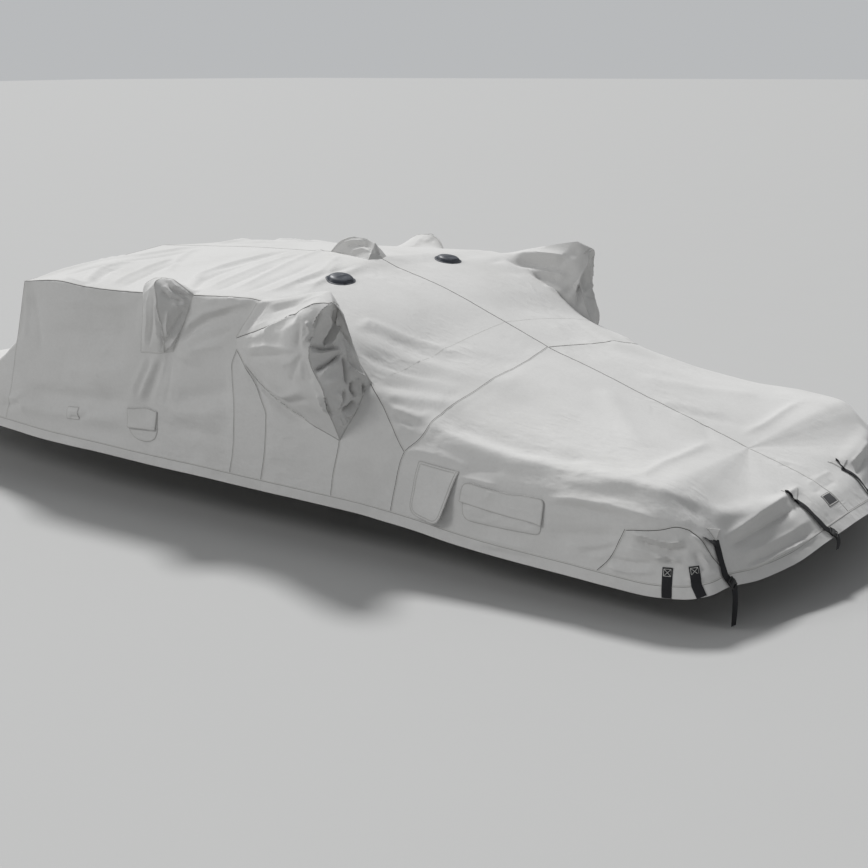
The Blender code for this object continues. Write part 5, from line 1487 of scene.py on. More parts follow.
@dataclass(frozen=True)
class Fold:
    """One fold of the cloth, raised or sunk along a line of places."""

    half_width: float
    height: float
    line: Array

    REACH, END_WIDTHS, END_SHARE, END_HEIGHT = 3.0, 2.6, 0.22, 0.10
    POWERS = ((0.014, 0.045), (1.15, 2.0))    # of the bell, at these half widths

    def lift(self, points: Array) -> tuple[Array, Array]:
        """Height at the points near the fold.

        Across the line the height is h exp(-(d / w) ^ p), where a narrow fold has p = 1.15 and so a crisp crest,
        and a broad one has p = 2.  It tapers smoothly away at both ends, over 2.6 half widths, or over 0.22 of
        its length if that is more.

        Args:
            points: Points of the skin.

        Returns:
            The numbers of the points that it moves, and their heights.
        """
        reach = self.REACH * self.half_width
        low, high = self.line.min(axis=0) - reach, self.line.max(axis=0) + reach
        near = np.flatnonzero(((points > low) & (points < high)).all(axis=1))
        best, along = np.full(len(near), math.inf), np.zeros(len(near))
        total = 0.0
        for start, end in zip(self.line[:-1], self.line[1:]):
            run = end - start
            length = float(np.linalg.norm(run))
            part = np.clip(((points[near] - start) @ run) / length ** 2, 0, 1)
            away = np.linalg.norm(points[near] - start - part[:, None] * run, axis=1)
            closer = away < best
            along[closer] = total + part[closer] * length
            best[closer] = away[closer]
            total += length
        power = float(np.interp(self.half_width, *self.POWERS))
        fade = max(self.END_WIDTHS * self.half_width, self.END_SHARE * total)
        taper = np.clip(np.minimum(along, total - along) / fade + self.END_HEIGHT, 0, 1)
        return near, self.height * np.exp(-(best / self.half_width) ** power) * taper * taper * (3 - 2 * taper)


@dataclass
class Drape:
    """Everything that moves the cloth off its lofted shape."""

    folds: list[Fold] = field(default_factory=list)

    STRAY = (0.05, 0.01, 0.02)    # how far a paired fold's fellow strays, in metres
    STRAY_BUMPS, STRAY_SEED, FULL_STRAY, FELLOW_HEIGHT = 3.0, 40, 20, 0.00085
    # bumps per metre, offset, seed and height of each wave of random slack
    WAVES = (((2.2, 3.1, 3.1), 0.0, 5, 0.0050), ((6.5, 8.0, 8.0), 0.0, 9, 0.0016),
             ((2.4, 9.0, 9.0), 3.7, 11, 0.0030), ((14.0, 22.0, 22.0), 0.0, 21, 0.0006))
    FOLD_HOLD, WAVE_HOLD = (0.012, 0.45), (0.06, 0.25)    # a seam holds the cloth: reach, and share left at it
    PUCKER_AT, PUCKER_WIDTH, PUCKER_HEIGHT, PUCKER_SEED = 0.018, 0.022, 0.0016, 31
    PUCKER_BUMPS, PUCKER_SIDES, PUCKER_SLACK = (26.0, 4.0), (17.0, 3.0), (0.6, 1.2)

    def lay(self) -> None:
        """Lay the folds of the tables; a paired fold's fellow lies a little elsewhere and is a little lower."""
        for table, paired in ((PAIRED_FOLDS, True), (SINGLE_FOLDS, False)):
            for half_width, height, *places in table:
                line = np.cumsum(np.reshape(places, (-1, 3)), axis=0) / 1000
                self.folds.append(Fold(half_width / 1000, height / 1000, line))
                if paired:
                    stray = np.stack([value_noise(line * self.STRAY_BUMPS + k, self.STRAY_SEED + k)
                                      for k in range(3)], axis=1)
                    fellow = line * (1, -1, 1) + stray * self.STRAY * min(1.0, half_width / self.FULL_STRAY)
                    self.folds.append(Fold(half_width / 1000, height * self.FELLOW_HEIGHT, fellow))

    def shift(self, points: Array, normals: Array, slack: Array, seam: Array, run: Array) -> Array:
        """Move of each point.

        The height is the sum of the laid folds, broad and narrow random slack, and puckers that run off each
        seam and die within a few centimetres.

        Args:
            points: Points of the skin.
            normals: Their normals.
            slack: How slack each is.
            seam: Distance from the nearest seam.
            run: Length along that seam.

        Returns:
            The move, along each point's normal.
        """
        height = np.zeros(len(points))
        for fold in self.folds:
            near, lift = fold.lift(points)
            height[near] += lift
        fold_hold, wave_hold = (np.clip(seam / reach, least, 1) for reach, least in (self.FOLD_HOLD, self.WAVE_HOLD))
        height *= fold_hold
        waves = sum(value_noise(points * bumps + offset, seed) * size for bumps, offset, seed, size in self.WAVES)
        height += waves * slack * wave_hold
        wave = np.stack([run * self.PUCKER_BUMPS[0], seam * self.PUCKER_BUMPS[1],
                         np.where(points[:, 1] > 0, *self.PUCKER_SIDES)], axis=1)
        bell = np.exp(-((seam - self.PUCKER_AT) / self.PUCKER_WIDTH) ** 2)
        pucker = value_noise(wave, self.PUCKER_SEED) * bell * self.PUCKER_HEIGHT
        height += pucker * np.clip(slack, *self.PUCKER_SLACK)
        return normals * height[:, None]


# --- work sewn on the cloth -----------------------------------------------------------------------------------
def unit(vectors: Array) -> Array:
    """Vectors scaled to length 1."""
    return vectors / np.maximum(np.linalg.norm(vectors, axis=-1, keepdims=True), 1e-12)


def slab(name: str, low: Array, high: Array, look: str, uv: Array, sharp: float = 40.0) -> bpy.types.Object:
    """A closed piece between two nets.

    Args:
        name: Name of the piece.
        low: Net of its underside, (columns, rows, 3).
        high: Net of its upper side.
        look: Name of its finish.
        uv: Place of each net point in the cut.
        sharp: Angle past which an edge stays crisp, in degrees.

    Returns:
        The piece.
    """
    columns, rows = high.shape[:2]
    points = np.concatenate([high.reshape(-1, 3), low.reshape(-1, 3)])
    _, index, number = np.unique(keys_of(points), axis=0, return_index=True, return_inverse=True)
    number = number.reshape(-1)
    top = faces_of(columns, rows, 0, False)
    middle = points[top]
    cross = np.cross(middle[:, 2] - middle[:, 0], middle[:, 3] - middle[:, 1])
    rise = (high - low).reshape(-1, 3)[top].mean(axis=1)
    if (cross * rise).sum() < 0:
        top = top[:, ::-1]
    quads, triangles = tidy_faces(number[top])
    edge = border_of(quads, triangles)
    under = number[np.arange(columns * rows) + columns * rows]
    fellow = dict(zip(number[:columns * rows].tolist(), under.tolist()))
    down = np.array([[fellow[b], fellow[a]] for a, b in edge.tolist()])
    rim_quads, rim_triangles = tidy_faces(np.concatenate([edge[:, ::-1], down[:, ::-1]], axis=1))
    low_quads, low_triangles = tidy_faces(np.vectorize(fellow.get)(quads[:, ::-1]) if len(quads) else quads)
    more_triangles = np.vectorize(fellow.get)(triangles[:, ::-1]) if len(triangles) else triangles
    own_uv = np.concatenate([uv.reshape(-1, 2)] * 2)[index]
    return make_piece(name, points[index], np.concatenate([quads, rim_quads, low_quads]),
                      np.concatenate([triangles, rim_triangles, low_triangles, more_triangles]), own_uv, look, sharp)


def strip_cut(across: Array, along: Array) -> Array:
    """Place in the cut of each point of a strip, from its places across and along."""
    return np.stack(np.broadcast_arrays(across[None, :], along[:, None]), axis=-1)


def evenly(line: Array, spacing: float) -> Array:
    """Points along a line about this far apart, straight between its own points.

    Args:
        line: points of the line.
        spacing: distance in metres.

    Returns:
        The new points.
    """
    run = lengths(line)
    at_lengths = np.linspace(0, run[-1], max(3, round(run[-1] / spacing)) + 1)
    return np.stack([np.interp(at_lengths, run, column) for column in line.T], axis=1)


@dataclass(frozen=True)
class Sewing:
    """Lays strips and flaps on the folded cloth."""

    skin: Skin

    NEIGHBOURS, NEAREST = 4, 1e-4         # points of the skin whose moves are mixed, and the least distance
    SUNK = 0.0006                         # how far a strip's underside lies in the cloth
    OFFSETS, PROFILE = np.array([-0.5, -0.36, 0.0, 0.36, 0.5]), np.array([0.15, 0.85, 1.0, 0.85, 0.15])

    def on_cloth(self, points: Array) -> tuple[Array, Array]:
        """The nearest place on the cloth to each point, with the cloth's normal there.

        Args:
            points: one point in each row.

        Returns:
            Places and normals.
        """
        flat = points.reshape(-1, 3)
        places, normals = np.zeros_like(flat), np.zeros_like(flat)
        for n, point in enumerate(flat):
            place, normal, _, _ = self.skin.tree.find_nearest(Vector(point))
            places[n], normals[n] = place, normal
        return places.reshape(points.shape), normals.reshape(points.shape)

    def folded(self, points: Array) -> tuple[Array, Array]:
        """Move points of the lofted shape as the nearest point of the skin moved.

        Args:
            points: points of the lofted shape.

        Returns:
            The moved points and the cloth's normals.
        """
        flat = points.reshape(-1, 3)
        moved, normals = np.zeros_like(flat), np.zeros_like(flat)
        for n, point in enumerate(flat):
            near = self.skin.lofted.find_n(Vector(point), self.NEIGHBOURS)
            weight = np.array([1 / (f[2] + self.NEAREST) ** 2 for f in near])
            index = [f[1] for f in near]
            share = weight / weight.sum()
            moved[n] = point + share @ self.skin.moves[index]
            normals[n] = share @ self.skin.normals[index]
        return moved.reshape(points.shape), unit(normals.reshape(points.shape))

    def laid(self, places: Array, side: Side) -> tuple[Array, Array, Array]:
        """Points of places on the lofted shape and on the folded cloth, and the cloth's normals.

        Args:
            places: station and girth in each row.
            side: side of the cover.

        Returns:
            The three nets.
        """
        net = cloth_net(BODY, places) * (1, -side.value, 1)
        moved, normals = self.folded(net)
        return net, self.on_cloth(moved)[0], normals

    def strip(self, name: str, line: Array, width: float, height: float, look: str) -> bpy.types.Object:
        """A low rounded strip along a line on the cloth.

        Args:
            name: Name of the piece.
            line: Places along the cloth's folded surface.
            width: Width of the strip.
            height: How far its middle stands off the cloth.
            look: Name of its finish.

        Returns:
            The piece, whose cut runs from 0 to 1 across and in metres along.
        """
        middle, normals = self.on_cloth(line)
        run = unit(np.gradient(middle, axis=0))
        normals[1:-1] = normals[1:-1] + normals[:-2] + normals[2:]
        normals = unit(normals)
        across = unit(np.cross(normals, run))
        net = middle[:, None] + across[:, None] * (self.OFFSETS * width)[None, :, None]
        placed, off = self.on_cloth(net)
        up = unit(off + normals[:, None])
        high = placed + up * (self.PROFILE * height)[None, :, None]
        return slab(name, placed - up * self.SUNK, high, look, strip_cut(self.OFFSETS + 0.5, lengths(middle)))


@dataclass(frozen=True)
class Seams:
    """Every felled seam of the cover, as a low strip with its stitches."""

    sewing: Sewing
    width: float = 0.010
    height: float = 0.0012
    spacing: float = 0.014

    LIP_START = 0.36                      # share of the lip's seam that the pocket's tip hides
    JOIN_WIDTH, JOIN_HEIGHT = 0.6, 0.4    # of the join, as shares of a seam's
    CENTRE = ("ridge", "ridge_fore", "stern_centre")
    ACROSS = ("front_top", "front_foot")
    # seams whose turned edge carries the strongest painted shadow, and those whose painted shadow is faint
    DARK = ("ridge", "deck", "deck_low", "roof_edge_fore", "roof_edge_aft", "pocket_top", "corner_fore", "corner_top",
            "corner_aft", "pocket_lower", "gore_aft", "knuckle", "slant", "gore_fore", "side", "lip")
    FAINT = ("front", "knuckle_fore", "knuckle_aft", "knuckle_foot", "knuckle_edge", "join", "crease", "inner")
    JOIN = ((-2.108, RIDGE), (-2.108, 0.30), (-2.114, 0.55), (-2.128, 0.75), (-2.150, 0.90))
    JOIN_ROWS = 60

    def lines(self) -> Iterable[tuple[str, Array, str]]:
        """Each seam's name, line and finish.

        Yields:
            Name, line and finish of each.
        """
        seams = dict(self.sewing.skin.pattern.seams, join=BODY.cloth(resample(self.JOIN, self.JOIN_ROWS)))
        for name, line in seams.items():
            look = "seam_dark" if name in self.DARK else "seam_faint" if name in self.FAINT else "seam"
            if name in self.CENTRE:
                yield name, line, look
            elif name in self.ACROSS:
                yield name, np.concatenate([line[::-1], line[1:] * (1, -1, 1)]), look
            else:
                for side in Side:
                    yield f"{name}_{side.word}", line * (1, -side.value, 1), look

    def build(self) -> None:
        """Sew them all."""
        for name, line, look in self.lines():
            if name.startswith("lip"):
                line = line[int(len(line) * self.LIP_START):]
            moved, _ = self.sewing.folded(evenly(line, self.spacing))
            wide, high = (self.JOIN_WIDTH, self.JOIN_HEIGHT) if name.startswith("join") else (1.0, 1.0)
            self.sewing.strip("seam_" + name, moved, self.width * wide, self.height * high, look)


@dataclass(frozen=True)
class Flap:
    """A patch or flap sewn on the cloth, with its stitches just inside its border.

    Each corner is (station, girth, radius in metres).  The lean is how far its aft and its lower edge stand off
    the cloth.
    """

    name: str
    corners: tuple[tuple[float, float, float], ...]
    side: Side
    look: str = "canvas"
    thickness: float = 0.0015
    spacing: float = 0.006
    rings: int = 16
    bulge: float = 0.0
    lift: float = TRIM_LIFT
    lean: tuple[float, float] = (0.0, 0.0)
    insets: tuple[float, ...] = (0.0015,)
    held: str = "stretched"
    node: bool = True
    seed: int = 0

    GIRTH = 0.30                          # metres in a step of girth, nearly
    TURN = 9                              # points round a corner
    CRUMPLE, RIDGES = ((16, 16, 22), 60), ((9, 9, 24), 70)    # bumps per metre, and first seed
    MIX = (0.6, 0.4, 0.35)                # shares of the bulge that are even, crumpled and ridged
    BORDER, SEWN, FILL = 6, 0.0001, 0.8   # slope at the border, lift of the sewn side, filled share of its rectangle
    LEAN_POWER, LEAN_REACH, LEAN_WAVE = 1.5, 1.3, (0.25, 5)
    STITCH, STITCH_RISE, STITCH_SUNK = (0.0, 0.0030, 0.0065), (0.0001, 0.0007, 0.0001), 0.0003

    def outline(self) -> Array:
        """Closed run of places round the flap, whose corners are rounded by quadratic curves.

        Returns:
            Places with the girth in metres, nearly.
        """
        size = np.array((1.0, self.GIRTH))
        corners = np.array([corner[:2] for corner in self.corners]) * size
        t = np.linspace(0, 1, self.TURN)[:, None]
        runs = []
        for n, (_, _, radius) in enumerate(self.corners):
            middle = corners[n]
            ends = [middle + (other - middle) * min(0.5, radius / float(np.linalg.norm(other - middle)))
                    for other in (corners[n - 1], corners[(n + 1) % len(corners)])]
            runs.append((1 - t) ** 2 * ends[0] + 2 * t * (1 - t) * middle + t * t * ends[1])
        return evenly(np.concatenate(runs + [runs[0][:1]]), self.spacing) / size

    def build(self, sewing: Sewing) -> bpy.types.Object:
        """Lay the flap on the cloth in rings round its middle, and stitch its border.

        Args:
            sewing: the sewing on the cloth.

        Returns:
            The flap's piece.
        """
        outline = self.outline()
        middle = outline[:-1].mean(axis=0)
        part = np.linspace(0, 1, self.rings + 1)
        places = middle + (outline[:, None] - middle) * part[None, :, None]
        net, placed, normals = sewing.laid(places, self.side)
        crumple, ridge = (value_noise(placed.reshape(-1, 3) * bumps, seed + self.seed).reshape(places.shape[:2])
                          for bumps, seed in (self.CRUMPLE, self.RIDGES))
        even, crumpled, ridged = self.MIX
        rise = (np.clip((1 - part) * self.BORDER, 0, 1) * self.bulge
                * (even + crumpled * crumple + ridged * (1 - np.abs(ridge) * 2)))
        aft, down = ((places[..., k] - outline[:, k].min()) / np.ptp(outline[:, k]) for k in (0, 1))
        wave, turns = self.LEAN_WAVE
        rise += (self.lean[0] * aft ** self.LEAN_POWER * np.minimum(1, self.LEAN_REACH * down)
                 * (1 - wave * np.sin(turns * down)))
        rise += self.lean[1] * down ** 2
        base = placed + normals * (self.lift + rise)[..., None]
        high = base + normals * self.thickness
        low = base if any(self.lean) else placed + normals * self.SEWN
        piece = slab(self.name + "_cloth", low, high, self.look, places * (1, self.GIRTH))
        if self.node:
            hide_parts(self.name)
        area = net_area(net)
        for n, inset in enumerate(self.insets):
            self.stitch(high, normals, inset, f"{self.name}_stitching_{n + 1}")
        return piece

    def stitch(self, high: Array, normals: Array, inset: float, name: str) -> None:
        """A narrow stitched strip on top of the flap, this far inside the border.

        Args:
            high: rings of the flap's upper side.
            normals: the cloth's normals there.
            inset: metres from the border.
            name: name of the piece.
        """
        line, up = high[:-1, -1], normals[:-1, -1]
        across = unit(np.cross(up, unit(np.roll(line, -1, axis=0) - np.roll(line, 1, axis=0))))
        if ((high[0, 0] - line) * across).sum() < 0:
            across = -across
        tree = BVHTree.FromPolygons(high.reshape(-1, 3).tolist(), faces_of(*high.shape[:2], 0, False).tolist())
        net = line[:, None] + across[:, None] * (np.array(self.STITCH) + inset)[None, :, None]
        placed = np.array([tree.find_nearest(Vector(point))[0] for point in net.reshape(-1, 3)]).reshape(net.shape)
        along = lengths(line)
        placed, up = (np.concatenate([a, a[:1]]) for a in (placed, up))
        uv = strip_cut(np.array([0.0, 0.5, 1.0]), np.append(along, along[-1] + self.spacing))
        rise = up[:, None] * np.array(self.STITCH_RISE)[None, :, None]
        slab(name, placed - up[:, None] * self.STITCH_SUNK, placed + rise, "stitching", uv)


@dataclass(frozen=True)
class Webbing:
    """Flat woven webbing along a path, with rounded selvedges."""

    width: float = 0.036
    thickness: float = 0.0022

    # the section: places across, and its upper and lower side as shares of the thickness
    OFFSETS = np.array([-0.5, -0.46, -0.2, 0.0, 0.2, 0.46, 0.5])
    RISE, FALL = np.array([0.5, 0.92, 1.0, 1.0, 1.0, 0.92, 0.5]), np.array([0.4, 0.08, 0.0, 0.0, 0.0, 0.08, 0.4])
    SHARP = 60.0

    def build(self, name: str, path: Array, off: Array, replaces: str | None = None,
              twist: Array | None = None) -> bpy.types.Object:
        """Sweep the webbing's section.

        Args:
            name: Name of the piece.
            path: Middle of the webbing's underside.
            off: Way off the cloth at each place.
            replaces: The node that it stands for.
            twist: Turn of the section about the path at each place, in radians.

        Returns:
            The piece.
        """
        run = unit(np.gradient(path, axis=0))
        off = unit(off - (off * run).sum(axis=1)[:, None] * run)
        across = np.cross(off, run)
        if twist is not None:
            c, s = np.cos(twist)[:, None], np.sin(twist)[:, None]
            across, off = across * c + off * s, off * c - across * s
        net = path[:, None] + across[:, None] * (self.OFFSETS * self.width)[None, :, None]
        low, high = (net + off[:, None] * (edge * self.thickness)[None, :, None] for edge in (self.FALL, self.RISE))
        piece = slab(name, low, high, "webbing", strip_cut(self.OFFSETS + 0.5, lengths(path)), self.SHARP)
        if replaces:
            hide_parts(replaces)
        return piece


def block_rings(size: Sequence[float], c: float) -> Array:
    """A block whose edges are chamfered by c, as a stack of rings from below to above.

    Args:
        size: length, width and height.
        c: width of the chamfer.

    Returns:
        Rings of points.
    """
    half = np.array(size) / 2
    rings = []
    for z, inset in ((-half[2], c), (-half[2] + c, 0.0), (half[2] - c, 0.0), (half[2], c)):
        x, y = half[0] - inset, half[1] - inset
        rings.append([(x, y - c, z), (x - c, y, z), (c - x, y, z), (-x, y - c, z), (-x, c - y, z), (c - x, -y, z),
                      (x - c, -y, z), (x, c - y, z)])
    return np.array(rings, float)


def solid_of(rings: Array) -> tuple[Array, Array, Array]:
    """Points, quads and triangles of a stack of closed rings with both ends closed by fans.

    Args:
        rings: rings of equally many points.

    Returns:
        Points, quads and triangles.
    """
    levels, around = rings.shape[:2]
    number = np.arange(levels * around).reshape(levels, around)
    after = np.roll(number, -1, axis=1)
    quads = np.stack([number[:-1], after[:-1], after[1:], number[1:]], axis=-1).reshape(-1, 4)
    points = np.concatenate([rings.reshape(-1, 3), [rings[0].mean(axis=0), rings[-1].mean(axis=0)]])
    low, high = levels * around, levels * around + 1
    below = np.stack([after[0], number[0], np.full(around, low)], axis=-1)
    above = np.stack([number[-1], after[-1], np.full(around, high)], axis=-1)
    return points, quads, np.concatenate([below, above])


@dataclass(frozen=True)
class Buckle:
    """A side-squeeze buckle: a socket with an open window, two squeezed prongs and a ladder bar at each end."""

    size: tuple[float, float, float] = (0.046, 0.054, 0.0088)

    # Size and middle of each moulded block as shares of the buckle's size, and its chamfer in metres.  A block
    # beside the middle has a fellow on the other hand.
    BLOCKS = ((0.80, 0.34, 1.00, 0, 0.05, 0, 0.0018), (0.16, 0.40, 0.72, 0.44, 0.04, 0, 0.0014),
              (0.92, 0.10, 0.75, 0, -0.22, 0, 0.0014), (0.12, 0.34, 0.62, 0.40, -0.30, 0, 0.0012),
              (0.86, 0.08, 0.62, 0, -0.45, 0, 0.0012), (0.12, 0.28, 0.62, 0.40, 0.34, 0, 0.0012),
              (0.86, 0.08, 0.62, 0, 0.46, 0, 0.0012), (0.50, 0.05, 0.16, 0, 0.13, 0.54, 0.0003),
              (0.50, 0.05, 0.16, 0, 0.02, 0.54, 0.0003))

    def build(self, name: str, centre: Array, along: Array, off: Array) -> bpy.types.Object:
        """Put the buckle on its webbing.

        Args:
            name: name of the piece.
            centre: the buckle's middle.
            along: the way of the webbing.
            off: the way off the cloth.

        Returns:
            The buckle's piece.
        """
        along = unit(along)
        off = unit(off - (off @ along) * along)
        axes = np.stack([np.cross(along, off), along, off])
        points, quads, triangles, total = [], [], [], 0
        for *shares, chamfer in self.BLOCKS:
            size, middle = np.array(shares).reshape(2, 3) * self.size
            for hand in (1, -1) if middle[0] else (1,):
                p, q, t = solid_of(block_rings(size, chamfer))
                points.append(centre + (p + middle * (hand, 1, 1) + (0, 0, self.size[2] / 2)) @ axes)
                quads.append(q + total)
                triangles.append(t + total)
                total += len(p)
        points = np.concatenate(points)
        piece = make_piece(name + "_moulded", points, np.concatenate(quads), np.concatenate(triangles),
                           np.zeros((len(points), 2)), "buckle", MOULDED)
        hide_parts(name)
        return piece


@dataclass(frozen=True)
class SternStrap:
    """A tie-down at the stern: a sewn triangle, webbing over the edge, a loose tail, and a buckle."""

    name: str
    side: Side
    left: tuple[float, float]
    right: tuple[float, float]
    tip: tuple[float, float]
    foot: tuple[float, float]
    bottom: float

    STEPS, HANG_STEPS, TAIL_STEPS = 46, 22, 16    # along the cloth, below the hem, and along the loose end
    HEAD = -0.03                                  # start of the webbing, under the triangle's tip
    LIFT, ARCH = 0.0022, 0.006                    # off the cloth at its ends, and more in its middle
    BUCKLE_BACK, BUCKLE_LIFT = 7, 0.0024          # steps before the hem, and metres off the webbing
    TAIL_LENGTH, TAIL_WIDTH, TAIL_THICKNESS, TWIST_SEED = 0.085, 0.026, 0.0018, 77

    def build(self, sewing: Sewing) -> None:
        """Sew on the triangle and lead the webbing down.

        Args:
            sewing: the sewing on the cloth.
        """
        Flap("strap_patch_" + self.name, tuple(corner + (0.004,) for corner in (self.left, self.right, self.tip)),
             self.side, bulge=0.003, rings=10, seed=3).build(sewing)
        count = self.STEPS
        way = np.array(self.foot, float) - np.array(self.tip, float)
        run = np.array(self.tip, float) + way * np.linspace(self.HEAD, 1, count)[:, None]
        _, placed, normals = sewing.laid(run, self.side)
        lift = self.LIFT + self.ARCH * np.sin(np.linspace(0, math.pi, count)) ** 0.7
        path = placed + normals * lift[:, None]
        out = unit(normals[-1] * (1, 1, 0))
        clear = path[-1] + unit(path[-1] - path[-2]) * 0.010 + out * 0.001
        steps = np.linspace(0, 1, self.HANG_STEPS)[:, None]
        sway = np.sin(steps * math.pi) * 0.004
        hang = (clear + out * (0.003 * np.minimum(1, steps * 4) + sway)
                - np.array((0, 0, 1.0)) * (clear[2] - self.bottom) * steps)
        path = np.concatenate([path, hang])
        off = np.concatenate([normals, np.broadcast_to(out, hang.shape)])
        bends = value_noise(np.stack([np.linspace(0, 5, len(path))] * 3, axis=1) + len(self.name), self.TWIST_SEED)
        twist = bends * np.interp(np.arange(len(path)), (0, 12, count - 8, count, len(path)), (0, .35, .35, 0, .2))
        Webbing().build("strap_" + self.name + "_webbing", path, off, "strap_" + self.name, twist)
        index = count - self.BUCKLE_BACK
        centre = path[index] + off[index] * self.BUCKLE_LIFT
        Buckle().build("buckle_" + self.name, centre, path[index + 2] - path[index - 2], off[index])
        self.tail(sewing, path, off)

    def tail(self, sewing: Sewing, path: Array, off: Array) -> None:
        """The webbing's loose end, which lies forward from the triangle's tip.

        Args:
            sewing: the sewing on the cloth.
            path: middle line of the webbing.
            off: the way off the cloth at each point.
        """
        start, up = path[3], off[3]
        forward = unit(np.array((-1.0, self.side.value * 0.25, 0.12)))
        forward = unit(forward - (forward @ up) * up)
        steps = np.linspace(0, 1, self.TAIL_STEPS)[:, None]
        line = start + forward * steps * self.TAIL_LENGTH + up * (0.004 + 0.003 * np.sin(steps * 7))
        placed, normals = sewing.on_cloth(line)
        line = placed + normals * (0.0045 + 0.004 * np.sin(steps * 6) ** 2)
        Webbing(self.TAIL_WIDTH, self.TAIL_THICKNESS).build("strap_tail_" + self.name, line, normals,
                                                            twist=np.linspace(0.2, 1.1, len(line)))


@dataclass(frozen=True)
class Vent:
    """A roof vent: an oval flange, a low hood, and a louvred mouth on its aft side."""

    name: str
    side: Side
    x: float = -2.870
    half: float = 0.530
    length: float = 0.150
    width: float = 0.200
    height: float = 0.029

    # share of the outline and of the height, from the flange's foot to the hood's crown
    LEVELS = ((1.0, 0.0), (1.0, 0.10), (0.95, 0.15), (0.88, 0.15), (0.865, 0.22), (0.85, 0.42), (0.80, 0.66),
              (0.70, 0.86), (0.55, 0.965), (0.34, 1.0), (0.12, 1.0))
    AROUND, POWER, FLANGE, SLOPE, ROOF_HEIGHT = 72, 2 / 2.1, 0.15, 0.16, 1.19

    def build(self, sewing: Sewing) -> None:
        """Lay the flange on the cloth, raise the hood, and set the louvres in its mouth.

        Args:
            sewing: the sewing on the cloth.
        """
        turn = np.linspace(0, 2 * math.pi, self.AROUND, endpoint=False)
        shape = np.stack([np.sign(wave) * np.abs(wave) ** self.POWER for wave in (np.cos(turn), np.sin(turn))], axis=1)
        centre, normals = sewing.on_cloth(np.array([[self.x, self.side.value * self.half, self.ROOF_HEIGHT]]))
        tilt = unit(normals[0])
        ahead = unit(np.array((1.0, 0, 0)) - tilt[0] * tilt)
        beside = np.cross(tilt, ahead)
        rings = []
        for scale, rise in self.LEVELS:
            slope = 1.0 - self.SLOPE * np.maximum(0, shape[:, 0]) * (rise > 0.5)
            ring = (centre[0] + ahead * (shape[:, :1] * scale * self.length / 2)
                    + beside * (shape[:, 1:] * scale * self.width / 2))
            if rise <= self.FLANGE:
                ring, _ = sewing.on_cloth(ring)
            rings.append(ring + tilt * (rise * self.height * slope)[:, None])
        rings[0] = rings[0] - tilt * 0.001
        points, quads, triangles = solid_of(np.array(rings))
        piece = make_piece(self.name + "_hood", points, quads, triangles, np.zeros((len(points), 2)), "vent", 30.0)
        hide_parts(self.name)
        for k in range(3):
            p, q, t = solid_of(block_rings((0.0025, self.width * (0.50 - 0.05 * k), 0.0022), 0.0007))
            seat = centre[0] + ahead * self.length * (0.405 - 0.022 * k) + tilt * self.height * (0.42 + 0.16 * k)
            make_piece(f"{self.name}_louvre_{k + 1}", seat + p @ np.stack([ahead, beside, tilt]), q, t,
                       np.zeros((len(p), 2)), "vent", MOULDED)


